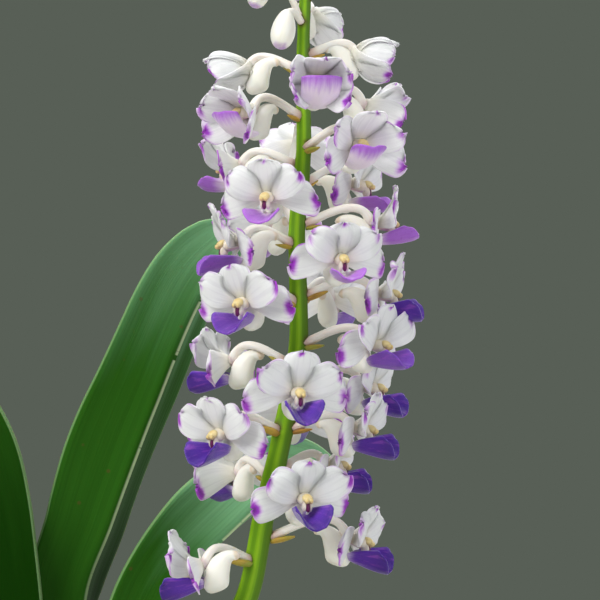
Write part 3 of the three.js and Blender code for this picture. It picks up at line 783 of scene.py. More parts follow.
@dataclass(frozen=True)
class BractFinish:
    """Papery scale under a bloom's stalk: green, ochre and golden brown."""

    green: Colour = srgb(150, 160, 60)
    ochre: Colour = srgb(196, 160, 62)
    brown: Colour = srgb(140, 88, 36)

    def make(self) -> Material:
        """Makes patches from green to brown with fine lines.

        Returns:
            The material.
        """
        s = Shade("bract", self.green, Roughness=0.62, Subsurface_Weight=0.15, Subsurface_Scale=0.001)
        patches, lines = s.noise(130.0, 2.0), s.noise(900.0, 4.0, 0.7)
        s.coat(self.ochre, patches.step(0.38, 0.56))
        s.coat(self.brown, patches.step(0.54, 0.72))
        s.coat(self.brown, lines.step(0.5, 0.8) * 0.5)
        return s.done(lines, 0.4, 0.0003)


@dataclass(frozen=True)
class LeafFinish:
    """Strap leaf: deep green foot, a bluish tip of painted sky reflection, pale margin and a pale notched
    keel.
    """

    deep: Colour = srgb(12, 50, 0)
    green: Colour = srgb(44, 96, 22)
    # Colour of the painted sky reflection towards the leaf's tip.
    blue: Colour = srgb(138, 196, 148)
    pale: Colour = srgb(150, 190, 130)
    keel: Colour = srgb(208, 228, 182)
    scar: Colour = srgb(96, 74, 40)

    def make(self) -> Material:
        """Makes lengthwise veins, painted shade and sky reflection, and small weathered specks.

        Returns:
            The material.
        """
        s = Shade("leaf", self.deep, IOR=1.4, Specular_IOR_Level=0.06, Subsurface_Weight=0.1,
                  Subsurface_Scale=0.001)
        veins, broad = s.fibres(44.0, 1.5, 3.0, 0.6), s.fibres(5.0, 2.2, 2.0)
        # Painted light and shade: the blade lightens towards its tip and with the leaf's tone, which stands
        # for how lit the leaf is; the blue coat is a painted reflection of the sky.
        rise = s.up + broad * 0.35 + s.number("tone") * 0.75
        s.coat(self.green, rise.step(0.45, 1.15))
        s.coat(self.blue, rise.step(1.18, 1.62) * 0.9)
        s.coat(self.deep, veins.step(0.42, 0.7) * 0.18)
        off = abs(s.across - 0.5)
        s.coat(self.pale, off.step(0.488, 0.498) * 0.45)
        ridge = off.step(0.017, 0.007) * (s.number("mark") * 0.7 + 0.3) * (s.up.step(0.25, 0.6) * 0.65 + 0.35)
        s.coat(self.keel, ridge * s.fibres(2.0, 70.0, 2.0).step(0.7, 0.64))
        s.coat(self.scar, s.cells(190.0).step(0.11, 0.05) * 0.5)
        s.feed(s.inputs["Roughness"], veins * 0.22 + 0.4)
        return s.done(veins + broad * 0.5, 0.3, 0.0004)


@dataclass(frozen=True)
class SheathFinish:
    """Leaf feet wrapped round the stem: yellow-green with dry brown margins."""

    green: Colour = srgb(108, 142, 62)
    pale: Colour = srgb(168, 180, 110)
    dry: Colour = srgb(132, 100, 62)

    def make(self) -> Material:
        """Makes lengthwise lines and dry patches near the margins.

        Returns:
            The material.
        """
        s = Shade("sheath", self.green, Roughness=0.55, Subsurface_Weight=0.05, Subsurface_Scale=0.001)
        lines = s.fibres(30.0, 2.0, 4.0, 0.6)
        s.coat(self.pale, lines.step(0.4, 0.7))
        s.coat(self.dry, (s.noise(110.0) * 0.6 + abs(s.across - 0.5) * 0.9).step(0.6, 0.82) * 0.85)
        return s.done(lines, 0.5, 0.0004)


@dataclass(frozen=True)
class RootFinish:
    """Silvery spongy root skin with green showing through."""

    silver: Colour = srgb(196, 200, 186)
    green: Colour = srgb(126, 146, 96)
    brown: Colour = srgb(120, 100, 74)

    def make(self) -> Material:
        """Makes cloudy silver over green, with a brown grain.

        Returns:
            The material.
        """
        s = Shade("root_skin", self.silver, Roughness=0.85, Sheen_Weight=0.15)
        cloud, grain = s.noise(90.0), s.noise(1100.0, 5.0, 0.7)
        s.coat(self.green, cloud.step(0.42, 0.66))
        s.coat(self.brown, grain.step(0.5, 0.75) * 0.45)
        return s.done(grain + cloud, 0.5, 0.0005)


@dataclass(frozen=True)
class BarkFinish:
    """Fir bark chunks: red-brown layers, grey weathered faces."""

    dark: Colour = srgb(58, 38, 27)
    red: Colour = srgb(122, 76, 48)
    grey: Colour = srgb(146, 124, 104)

    def make(self) -> Material:
        """Makes thin bark layers broken by fissures.

        Returns:
            The material.
        """
        s = Shade("bark_chip", self.dark, Roughness=0.9)
        layers, cracks = s.noise(620.0, 6.0, 0.7), s.cells(330.0, "DISTANCE_TO_EDGE")
        s.coat(self.red, s.noise(120.0).step(0.36, 0.62))
        s.coat(self.grey, layers.step(0.52, 0.72) * 0.7)
        s.coat(self.dark, cracks.step(0.06, 0.0))
        return s.done(layers + cracks.step(0.0, 0.12), 0.8, 0.0006)


@dataclass(frozen=True)
class ClayFinish:
    """Fired clay with lime bloom, throwing lines and a darker damp foot."""

    clay: Colour = srgb(178, 98, 64)
    dark: Colour = srgb(142, 72, 46)
    lime: Colour = srgb(214, 178, 152)

    def make(self) -> Material:
        """Makes clouded clay, fine turning lines, pores and lime patches.

        Returns:
            The material.
        """
        s = Shade("clay", self.clay, Roughness=0.86, Diffuse_Roughness=0.6)
        height, pores = s.part(s.place, 2), s.noise(1300.0, 3.0, 0.6)
        turning = s.noise(700.0, 3.0, 0.6, s.node("ShaderNodeCombineXYZ", 0, {2: height}))
        s.coat(self.dark, s.noise(34.0, 5.0, 0.6).step(0.35, 0.65))
        s.coat(self.dark, height.step(0.03, 0.0) * 0.6)
        s.coat(self.lime, s.noise(62.0, 6.0, 0.75).step(0.54, 0.72) * 0.55)
        s.coat(self.dark, pores.step(0.6, 0.72) * 0.35)
        return s.done(turning * 0.8 + pores, 0.35, 0.0004)


@dataclass(frozen=True)
class FloorFinish:
    """Plain pale studio floor."""

    pale: Colour = srgb(196, 196, 190)
    dull: Colour = srgb(176, 176, 170)

    def make(self) -> Material:
        """Makes a faint mottle.

        Returns:
            The material.
        """
        s = Shade("floor_finish", self.pale, Roughness=0.8)
        s.coat(self.dull, s.noise(5.0) * 0.2)
        s.feed(s.inputs["Base Color"], s.body)
        return s.material


FINISHES = {
    "tepal": TepalFinish(),
    "lip": LipFinish(),
    "spur": FleshFinish("spur", srgb(243, 241, 232), srgb(222, 196, 140), srgb(232, 222, 222)),
    "column": FleshFinish("column", srgb(238, 226, 206), srgb(216, 176, 200), srgb(222, 196, 212)),
    "cap": FleshFinish("anther_cap", srgb(232, 208, 150), srgb(224, 184, 104), srgb(226, 196, 130)),
    # Stigma: purple of its own, darkened with painted shade of its hollow.
    "slit": FleshFinish("stigma", srgb(104, 24, 84), srgb(110, 24, 104), srgb(70, 14, 60)),
    "pedicel": FleshFinish("pedicel", srgb(240, 235, 229), srgb(228, 202, 198), srgb(204, 160, 146)),
    "bud": FleshFinish("bud_skin", srgb(242, 239, 232), srgb(176, 126, 204), srgb(206, 214, 160)),
    "stalk": StalkFinish(),
    "bract": BractFinish(),
    "leaf": LeafFinish(),
    "sheath": SheathFinish(),
    "root": RootFinish(),
    "bark": BarkFinish(),
    "clay": ClayFinish(),
}


# Flower spike


@dataclass
class Foot:
    """Where a bloom or bud leaves the stalk."""

    middle: Vector
    radius: float
    out: Vector

    def edge(self, gap: float = 0.0) -> Vector:
        """Point on the stalk's skin, or a gap beyond it."""
        return self.middle + self.out * (self.radius + gap)


@dataclass
class FlowerStalk:
    """The ribbed stalk of the spike, with a node under every bloom."""

    line: SmoothLine = SmoothLine((
        (5.5, -6.5, 95), (12, -11, 108), (22, -17, 124), (31, -21, 138), (38.8, -24, 151), (42.3, -26, 167.6),
        (46.1, -26.5, 184.2), (49.2, -27, 201.4), (49.2, -27, 214.2), (49, -27, 225.8), (50.3, -27, 240),
        (50.2, -27, 259.6), (50.8, -27, 275), (51.4, -27, 291),
    ))
    radii: Stops = ((0, 2.7), (0.35, 2.45), (0.6, 2), (0.8, 1.6), (0.95, 1.1), (1, 0.7))
    cad_rings: int = 12
    rings: int = 150
    sides: int = 32
    ribs: int = 6
    node_length: float = 2.6
    node_swell: float = 0.35
    feet: list[Foot] = field(default_factory=list)

    def at(self, height: float) -> tuple[Vector, float]:
        """Middle and radius of the CAD stalk at a height.

        Args:
            height: Height above the ground.

        Returns:
            The middle point, on the straight run between two CAD rings, and the radius.
        """
        middles = [self.line.at(place) for place in shares(self.cad_rings)]
        above = max(next((i for i, middle in enumerate(middles) if middle.z > height), self.cad_rings), 1)
        low, high = middles[above - 1], middles[above]
        share = (height - low.z) / (high.z - low.z)
        return low.lerp(high, share), along(self.radii, (above - 1 + share) / self.cad_rings)

    def foot(self, back: Vector) -> Foot:
        """Gives a bloom its foot on the stalk.

        Args:
            back: Point at the bloom's back.

        Returns:
            The foot, at the same height.
        """
        middle, radius = self.at(back.z)
        self.feet.append(Foot(middle, radius, Vector((back.x - middle.x, back.y - middle.y, 0)).normalized()))
        return self.feet[-1]

    def build(self, palette: Palette) -> None:
        """Builds the stalk after its blooms and buds have taken their feet.

        Args:
            palette: The plant's materials.
        """
        skin, rows = Skin(), []
        for place in shares(self.rings):
            middle, way = self.line.at(place), self.line.heading(place)
            side = Vector((1, 0, 0)).cross(way).normalized()
            front = way.cross(side).normalized()
            row = []
            for angle in circle(self.sides):
                out, rib = side * cos(angle) + front * sin(angle), cos(self.ribs * angle)
                radius = along(self.radii, place) * (0.94 + 0.06 * rib - 0.02 * rib * rib)
                near = min((foot.edge() - (middle + out * radius)).length for foot in self.feet)
                mark = max(0.0, 1.0 - near / self.node_length)
                row.append(Dot(middle + out * (radius + self.node_swell * mark * mark), mark=mark))
            rows.append(row)
        skin.tube(rows)
        dress(skin.piece("flower_stalk_ribbed", palette["stalk"]), "stalk", "flower_stalk")


@dataclass
class Bracts:
    """Boat-shaped scales below the blooms, laid out along the stalk by a node tree."""

    length: float = 5.4
    width: float = 2.5
    drop: float = 1.5
    sunk: float = 0.35
    top_share: float = 0.62
    heights: tuple[float, float] = (165, 265)
    seed: int = 11

    def scale_shape(self) -> Object:
        """Makes one scale, 1 mm long, pointing along +X from its foot.

        Returns:
            The shape that the tree repeats.
        """
        skin, rows = Skin(), []
        for t in shares(8):
            half = 0.5 * self.width / self.length * sin(pi * (0.22 + 0.74 * t)) ** 0.9
            rows.append([Dot(Vector((t, edge * half, 0.75 * half * edge * edge + 0.22 * t * t)),
                             0.11 - 0.05 * t)
                         for edge in (column / 3 - 1 for column in range(7))])
        skin.sheet(rows)
        return skin.piece("scale_shape")

    def build(self, palette: Palette, feet: Sequence[Foot]) -> None:
        """Scatters a scale below each foot.

        Args:
            palette: The plant's materials.
            feet: Where the blooms leave the stalk.
        """
        draw = random.Random(self.seed)
        spots = point_object("scale_feet", [foot.edge(-self.sunk) - UP * self.drop for foot in feet])
        ways = [part for foot in feet for part in (foot.out.x, foot.out.y, draw.uniform(-0.05, 0.3))]
        sizes = [self.length * lerp(1, self.top_share, smooth(foot.middle.z, *self.heights))
                 * draw.uniform(0.75, 1.1) for foot in feet]
        keep(spots.data, "way", ways, "FLOAT_VECTOR")
        keep(spots.data, "long", sizes)
        tree, shape = GrownTree("bract_tree"), self.scale_shape()
        info = tree.node("GeometryNodeObjectInfo", None, "Geometry",
                         Object=tree.size("Scale shape", "Object"))
        turn = tree.node("FunctionNodeAxesToRotation", {"primary_axis": "X", "secondary_axis": "Z"},
                         Primary_Axis=tree.kept("way", "FLOAT_VECTOR"), Secondary_Axis=(0.0, 0.0, 1.0))
        scales = tree.real(tree.inputs["Geometry"], info, Rotation=turn, Scale=tree.kept("long"))
        sizes = {"Scale shape": shape, "Material": palette["bract"]}
        dress(tree.grow("stalk_bracts", spots, scales, sizes), "stalk")
        bpy.data.objects.remove(shape)


# Blooms


def in_bloom(side: float, forward: float, up: float) -> Vector:
    """Point of a bloom's own frame: its column foot is at 0 and it looks along -Y."""
    return Vector((side, -forward, up))


class Part(IntEnum):
    """The materials of a bloom, in the order of its material slots."""

    TEPAL = 0
    LIP = 1
    SPUR = 2
    COLUMN = 3
    CAP = 4
    SLIT = 5
    PEDICEL = 6


@dataclass(frozen=True)
class Lobe:
    """A sepal or petal: it leaves the column at an angle, turn, round the face.

    Its midline rises towards the viewer by lift_foot degrees, bending to lift_tip.
    Corner, spread, stain, fade and rim place its violet mark, and the rest bend it.
    """

    turn: float
    length: float
    width: float
    lift_foot: float
    lift_tip: float
    dish: float
    corner: float
    spread: float
    stain: float
    fade: float
    rim: float
    curl: float
    ruffle: float
    foot_share: float
    roll: float
    skew: float = 0.0
    widest: float = 0.72
    droop: float = 0.0

    def half(self, t: float) -> float:
        """Half the width: a narrow foot and a broad, blunt end.

        Args:
            t: From the foot, 0, to the tip, 1.

        Returns:
            Half the width there.
        """
        if t < self.widest:
            share = lerp(self.foot_share, 1.0, sin(0.5 * pi * t / self.widest) ** 1.3)
        else:
            share = sqrt(max(1 - ((t - self.widest) / (1 - self.widest)) ** 3.0, 0.0))
        return 0.5 * self.width * share

    def point(self, seat: float, t: float, edge: float) -> Vector:
        """Point of the lobe's middle surface.

        Args:
            seat: How far forward the whorl sits on the column.
            t: From the foot, 0, to the tip, 1.
            edge: From one margin, -1, to the other, 1.

        Returns:
            The point in the bloom's frame.
        """
        side_out, up_out = sin(radians(self.turn)), cos(radians(self.turn))
        start, bend = radians(self.lift_foot), radians(self.lift_tip - self.lift_foot)
        half, lift = self.half(t), start + bend * t
        length = self.length * (1 + self.skew * edge * t * t)
        length *= 1 + 0.035 * sin(7.0 * edge + 2.0 * self.turn) * t**3
        wave = self.ruffle * sin(6.0 * t + 2.3 * edge + self.turn) * edge * edge * t
        wave += 0.6 * self.ruffle * sin(11.0 * edge + self.turn) * t**6
        cup = self.dish * half * edge * edge + wave - self.curl * max(t - 0.7, 0.0) ** 2 * 12.0
        cup -= 0.2 * exp(-(edge * 5.0) ** 2) * t * (1 - t) + self.roll * half * edge * edge * t**4
        reach = length * (sin(lift) - sin(start)) / bend - sin(lift) * cup
        rise = -length * (cos(lift) - cos(start)) / bend + cos(lift) * cup
        across = edge * half * (1 - 0.3 * self.roll * t**4) + self.droop * (t * t - 0.5 * t)
        return in_bloom(reach * side_out + across * up_out, seat + rise, reach * up_out - across * side_out)

    def mark(self, t: float, edge: float) -> float:
        """How violet the lobe is: strongest at a corner of its end, with a thin line on the end's rim.

        Args:
            t: From the foot, 0, to the tip, 1.
            edge: From one margin, -1, to the other, 1.

        Returns:
            The mark, 0 where the lobe is white.
        """
        from_end = (1 - t) * self.length
        from_side = (1 - abs(edge)) * self.half(t)
        corner = exp(-((edge - self.corner) / self.spread) ** 2)
        blotch = 1.2 * self.stain * corner * (1 - smooth(from_end + 0.5 * (1 - corner), 0.1, self.fade))
        band = (0.55 + 0.4 * corner) * self.stain * (1 - smooth(from_end + 0.4 * edge * edge, 0.1,
                                                                0.5 * self.fade))
        line = self.rim * (0.7 + 0.3 * sin(9 * t + 5 * edge + self.turn))
        line *= (1 - smooth(min(from_end, from_side), 0.0, 0.8)) * smooth(t, 0.5, 0.85)
        return max(blotch, band if self.spread > 0.4 else 0.0, line)


@dataclass(frozen=True)
class LipShape:
    """The lip's bend, from foot to tip in degrees above level, and the sizes of its trough."""

    foot: float
    tip: float
    spread: float
    length: float
    base_width: float
    drop: float
    depth: float
    notch: float
    rounding: float
    end_width: float = 9.4

    def rows(self) -> list[list[Dot]]:
        """Lays the trough out from the claw to its blunt end.

        Returns:
            Rows of dots of its middle surface.
        """
        start, bend = radians(self.foot), radians(self.tip - self.foot)
        rows = []
        for t in shares(21):
            dots = []
            for edge in (column / 10 - 1 for column in range(21)):
                off = abs(edge)
                place = t * (1 - self.rounding * off**3 * t**3 - self.notch * exp(-(edge * 4) ** 2) * t**8)
                slope = start + bend * place
                reach = self.length * (sin(slope) - sin(start)) / bend
                rise = -self.length * (cos(slope) - cos(start)) / bend
                half = 0.5 * lerp(self.base_width, self.end_width * self.spread, place**0.62)
                side = sqrt(max(off - 0.36, 0.0) ** 2 + 0.01) - 0.1 * smooth(0.46 - off, 0, 0.46)
                wall = self.depth * lerp(0.22, 1, place**0.8) * side / 0.65 * (1 - 0.28 * smooth(t, 0.7,
                                                                                                 1) * off**3)
                wall -= 0.115 * self.depth * exp(-(edge * 5) ** 2) * t * (1 - 0.6 * t)
                wall += 0.14 * sin(7 * edge + 5 * t + 9 * self.spread) * t * t
                thick = lerp(0.95, 0.55, t) * (1 - 0.4 * edge * edge) * (1 - 0.45 * smooth(t, 0.85, 1))
                dots.append(Dot(in_bloom(edge * half * (1 - 0.06 * off * t), reach - wall * sin(slope),
                                         rise + wall * cos(slope) - self.drop), thick, t))
            rows.append(dots)
        return rows


@dataclass(frozen=True)
class Spur:
    """The flattened sac below the column, whose neck runs back to a blunt nub.

    A point of path is forward, up and radius. A point of look is half the thickness
    and a tenth of the slope in degrees.
    """

    path: SmoothLine = SmoothLine((
        (-8.2, -0.6, 0.95), (-6, 0, 1.25), (-4.2, -1.2, 2.2), (-2.6, -3.1, 2.9), (-0.8, -4.2, 2.0),
        (0.6, -4.6, 1.1),
    ))
    look: SmoothLine = SmoothLine((
        (0.85, 2, 0), (1.1, -2, 0), (1.6, -2.6, 0), (2.0, -2.8, 0), (1.8, -1.4, 0), (1.25, 0, 0),
    ))
    sides: int = 18
    steps: int = 34

    def rings(self) -> list[list[Dot]]:
        """Lays the sac out from its nub to its mouth.

        Returns:
            Its rings.
        """
        rings = []
        for place in shares(self.steps):
            forward, up, radius = self.path.at(place)
            half, tenth, _ = self.look.at(place)
            end = min(place * self.steps, (1 - place) * self.steps, 4.0) / 4.0
            rounded, slope = sqrt(max(1 - (1 - end) ** 2, 0.03)), radians(10 * tenth)
            over = in_bloom(0, -sin(slope), cos(slope)) * (radius * rounded)
            rings.append(hoop(in_bloom(0, forward, up), in_bloom(half * rounded, 0, 0), over, self.sides,
                              1.1 * (1 - smooth(place, 0.0, 0.16))))
        return rings


@dataclass(frozen=True)
class Bloom:
    """One bloom of the spike: its column foot, where it looks, how far it nods, its age and size."""

    name: str
    at: tuple[float, float, float]
    yaw: float
    nod: float
    age: float
    size: float = 1.0
    lip_rise: float = 0.0

    BELL_AGE = 0.33
    CLEARANCE = 0.3
    ROWS = 17
    COLUMNS = 13

    def matrix(self) -> Matrix:
        """Takes the bloom's frame to its place on the spike."""
        return Matrix.Translation(self.at) @ turned(self.yaw, "Z") @ turned(self.nod,
                                                                            "X") @ Matrix.Scale(self.size, 4)

    def lobes(self, draw: random.Random) -> list[tuple[Lobe, float]]:
        """The bloom's five lobes with the seat of each.

        Args:
            draw: Source of each lobe's small differences.

        Returns:
            Pairs of a lobe and how far forward it sits.
        """
        pick = draw.uniform
        opened, cup = smooth(self.age, 0.1, 0.65), 1 - smooth(self.age, 0.35, 0.62)
        slim, foot_share = lerp(lerp(0.5, 1, opened), 0.98, cup), lerp(0.3, 0.62, cup)
        if self.age < self.BELL_AGE:
            back, lateral_cup, hood, cupped = -1.3, 142, (24, 110), (24, 106)
        else:
            back, lateral_cup, hood, cupped = 0.0, 124, (26, 104), (24, 88)

        def lifts(full: Sequence[float], closed: Sequence[float]) -> list[float]:
            """Lift of a lobe's foot and tip, by how far the bloom has opened."""
            return [lerp(lerp(a, b, opened), c, cup) + pick(-4, 4) for a, b, c in zip((70, 62), full, closed)]

        made = [(Lobe(pick(-5, 5), lerp(pick(7.9, 9.3), 10.4, cup), 7.6 * slim, *lifts((36, 8), hood),
                      lerp(0.05, 0.12, cup), corner=pick(-0.3, 0.4), spread=0.34, stain=pick(0.6, 0.9),
                      fade=1.5,
                      rim=0.35, curl=pick(-0.3, 0.9) * opened, ruffle=0.4, foot_share=foot_share,
                      roll=pick(0, 0.6) * opened), back + 0.55)]
        for sign in (1, -1):
            made.append((Lobe(sign * (lerp(59, 68, cup) + pick(-6, 6)), pick(9.4, 10.3), 7.2 * slim,
                              *lifts((41, 1), cupped), 0.13, corner=sign * pick(0.2, 0.9), spread=0.45,
                              stain=pick(0.5, 0.9), fade=2.2, rim=pick(0.35, 0.75),
                              curl=pick(-0.2, 1.0) * opened,
                              ruffle=0.55, skew=sign * pick(-0.02, 0.08), foot_share=foot_share,
                              roll=pick(0, 0.8) * opened), back + 0.15))
        lateral_turn = lerp(lerp(130, 94, opened), lateral_cup, cup)
        for sign in (1, -1):
            made.append((Lobe(sign * (lateral_turn + pick(-4, 4)), lerp(10.4, 11.2, cup), 7.4 * slim,
                              *lifts((16, -12), cupped), 0.1, corner=sign * pick(-0.1, 0.6), spread=0.7,
                              stain=pick(0.75, 1.05), fade=2.7, rim=pick(0.6, 0.95),
                              curl=pick(-0.2, 0.6) * opened,
                              ruffle=0.4, skew=sign * pick(-0.02, 0.06), foot_share=foot_share,
                              widest=lerp(0.82, 0.72, cup), roll=pick(0, 0.4) * opened,
                              droop=sign * pick(0.6, 2.6) * opened * (1 - cup)), back - 0.6))
        return made

    def add_lobes(self, skin: Skin, draw: random.Random) -> None:
        """Adds the sepals and petals.

        Args:
            skin: The bloom's skin.
            draw: Source of each lobe's small differences.
        """
        edges = [sin(0.5 * pi * (2 * column / (self.COLUMNS - 1) - 1)) for column in range(self.COLUMNS)]
        for lobe, seat in self.lobes(draw):
            rows = []
            for share in shares(self.ROWS - 1):
                t = 1 - (1 - share) ** 1.5 * 0.998 - 0.002
                rows.append([Dot(lobe.point(seat, t, edge), lerp(0.26, lerp(0.95, 0.5, t), 1 - edge * edge),
                                 lobe.mark(t, edge)) for edge in edges])
            skin.sheet(rows, Part.TEPAL)

    def add_lip(self, skin: Skin) -> None:
        """Adds the lip: cup-shaped when young, spread and deeper with age.

        Args:
            skin: The bloom's skin.
        """
        cup, spread = 1 - smooth(self.age, 0.35, 0.62), smooth(self.age, 0.4, 0.75)
        tip = lerp(lerp(58, -5, smooth(self.age, 0.45, 0.75)), 84, cup) + self.lip_rise
        lip = LipShape(-6 + 0.5 * self.lip_rise, tip, lerp(lerp(0.8, 1, spread), 0.96, cup),
                       length=lerp(9.2, 11.6, cup), base_width=lerp(2.2, 6.2, cup), drop=lerp(4.0, 5.4, cup),
                       depth=lerp(lerp(3.3, 5.4, smooth(self.age, 0.65, 1.0)), 1.2, cup),
                       notch=0.05 * (1 - cup), rounding=lerp(0.24, 0.04, cup))
        skin.sheet(lip.rows(), Part.LIP)

    def add_column(self, skin: Skin) -> None:
        """Adds the short column, its golden cap, a dark purple ball below it for the stigma's hollow, and the
        sac's teeth.

        Args:
            skin: The bloom's skin.
        """
        rings = []
        for t in shares(10):
            radius = 1.0 + 0.38 * sin(pi * min(t * 0.75, 1.0))
            radius *= sqrt(max(1 - max(t - 0.85, 0) ** 2 * 30, 0.2))
            ring = hoop(in_bloom(0, lerp(-1.4, 3.4, t), lerp(0.1, -0.35, t)), in_bloom(1.08 * radius, 0, 0),
                        UP * (0.95 * radius), 14)
            for dot, angle in zip(ring, circle(14)):
                dot.mark = 0.7 * smooth(-sin(angle), 0.2, 0.9)
            rings.append(ring)
        skin.tube(rings, Part.COLUMN)
        skin.ball(egg(in_bloom(0, 3.35, 0.25), 24, (1.08, 1.2, 0.78)), Part.CAP, rings=10, sides=14)
        for sign in (-1, 1):
            skin.ball(egg(in_bloom(sign * 0.42, 4.15, -0.1), 38, (0.48, 0.55, 0.55)), Part.CAP, 0.5, 7, 10)
        # The stigma ball: its purple is the stigma's own colour, its darkness painted shade of the hollow,
        # which is not modelled.
        skin.ball(egg(in_bloom(0, 3.75, -1.35), -14, (0.46, 0.45, 1.05)), Part.SLIT)
        for sign in (-1, 1):
            skin.ball(egg(in_bloom(sign * 0.62, 3.2, -1.3), -10, (0.42, 0.85, 1.15)), Part.COLUMN, sides=10)
        for sign in (-1, 1):
            skin.tube([hoop(in_bloom(sign * (1.0 + 0.1 * t), 1.0 + 0.5 * t, -3.7 + 1.3 * t),
                            in_bloom(0.5 * radius, 0, 0), in_bloom(0, radius, 0), 8)
                       for t, radius in ((0, 0.8), (0.5, 0.6), (0.85, 0.35), (1, 0.12))], Part.SPUR)

    def add_pedicel(self, skin: Skin, stalk: FlowerStalk, matrix: Matrix) -> None:
        """Adds the stalk that arches from the spike down to the bloom's back.

        Args:
            skin: The bloom's skin.
            stalk: The flower stalk that carries it.
            matrix: Takes the bloom's frame to its place.
        """
        back = matrix @ in_bloom(0, -1.2, 0.1)
        foot = stalk.foot(back)
        behind = (matrix.to_3x3() @ in_bloom(0, -1, 0.25)).normalized()
        start = foot.edge(2 * self.CLEARANCE)
        span = (back - start).length
        ends = (start, start + foot.out * (0.4 * span) + UP * (0.2 * span),
                back + behind * (0.12 * span) + UP * (0.36 * span), back)
        middles = [foot.edge(-0.4) - UP * 0.3, *(bezier(ends, place) for place in shares(22)),
                   matrix @ in_bloom(0, 0.2, 0.0)]
        rings = []
        for index, middle in enumerate(middles):
            t = index / (len(middles) - 1)
            before, after = neighbours(middles, index)
            ahead = (after - before).normalized()
            side = ahead.cross(UP)
            side = side.normalized() if side.length > 1e-3 else Vector((1, 0, 0))
            radius = lerp(0.98, 0.84, smooth(t, 0, 0.2)) + 0.3 * smooth(t, 0.75, 1.0)
            rings.append(hoop(middle, side * radius, side.cross(ahead) * radius, 12,
                              0.8 * smooth(t, 0.82, 1.0) + 0.5 * (1 - smooth(t, 0.0, 0.12)),
                              lambda angle, t=t: 1 + 0.07 * cos(3 * angle + 5 * t)))
        skin.tube(rings, Part.PEDICEL)

    def build(self, palette: Palette, stalk: FlowerStalk) -> None:
        """Builds the bloom on its stalk.

        Args:
            palette: The plant's materials.
            stalk: The flower stalk that carries it.
        """
        skin, matrix = Skin(tone=self.age), self.matrix()
        self.add_lobes(skin, random.Random(int(self.name) * 97 + 5))
        skin.tube(Spur().rings(), Part.SPUR)
        if self.age >= self.BELL_AGE:
            self.add_lip(skin)
        self.add_column(skin)
        skin.points = [matrix @ point for point in skin.points]
        self.add_pedicel(skin, stalk, matrix)
        materials = [palette[part.name.lower()] for part in Part]
        dress(skin.piece(f"open_bloom_{self.name}", *materials), "petal", f"bloom_{self.name}")


BLOOMS = (
    Bloom("03", (52.4, -17, 268.4), 150, 20, 0.3, 0.82),
    Bloom("04", (61.6, -27, 260), 90, 12, 0.25, 0.9),
    Bloom("05", (38.4, -28, 257), -95, 14, 0.25, 0.9),
    Bloom("06", (52.6, -41, 253.6), 10, 5, 0.4, 0.97),
    Bloom("07", (39.6, -38, 247.8), -47, 8, 0.45, 0.95),
    Bloom("08", (63, -18, 250.5), 120, 12, 0.5, 0.9),
    Bloom("09", (60.4, -40, 241.5), 25, 8, 0.5),
    Bloom("10", (37, -22, 238), -110, 12, 0.6),
    Bloom("11", (43.6, -43, 231.2), -15, 10, 0.7, 0.94),
    Bloom("12", (60.4, -16.6, 234.6), 72, 8, 0.7),
    Bloom("13", (64.8, -28, 226.4), 88, 5, 0.72, 1.0, 22),
    Bloom("14", (57, -43, 219.2), 20, 8, 0.64, 0.95),
    Bloom("15", (37.4, -34, 222.4), -80, 12, 0.8),
    Bloom("16", (39.2, -41, 210.8), -28, 10, 0.85),
    Bloom("17", (65.4, -27, 212.2), 80, 3, 0.9),
    Bloom("19", (63.8, -33, 202.4), 55, 8, 0.84, 1.0, 12),
    Bloom("20", (35, -18, 198.6), -115, 12, 0.9),
    Bloom("21", (48.8, -45, 193.6), 15, 10, 0.95),
    Bloom("22", (63, -17.5, 193.4), 68, 8, 0.95),
    Bloom("23", (34.8, -38, 185.2), -40, 10, 0.95),
    Bloom("24", (60.6, -30, 185.6), 75, 8, 1),
    Bloom("25", (55.4, -19, 177.6), 80, 5, 1),
    Bloom("26", (49.8, -42, 173), 22, 8, 1),
    Bloom("27", (36.6, -13, 175.6), -150, 10, 1),
    Bloom("28", (30, -35, 159), -100, 18, 1),
    Bloom("29", (60, -29, 163.6), 75, 14, 1),
    Bloom("41", (49, -10, 243), -175, 10, 0.5, 0.9),
    Bloom("43", (44, -9, 226), -158, 10, 0.75),
    Bloom("44", (56, -9, 211), 165, 10, 0.85),
    Bloom("47", (48, -8, 187), 178, 10, 0.95),
)


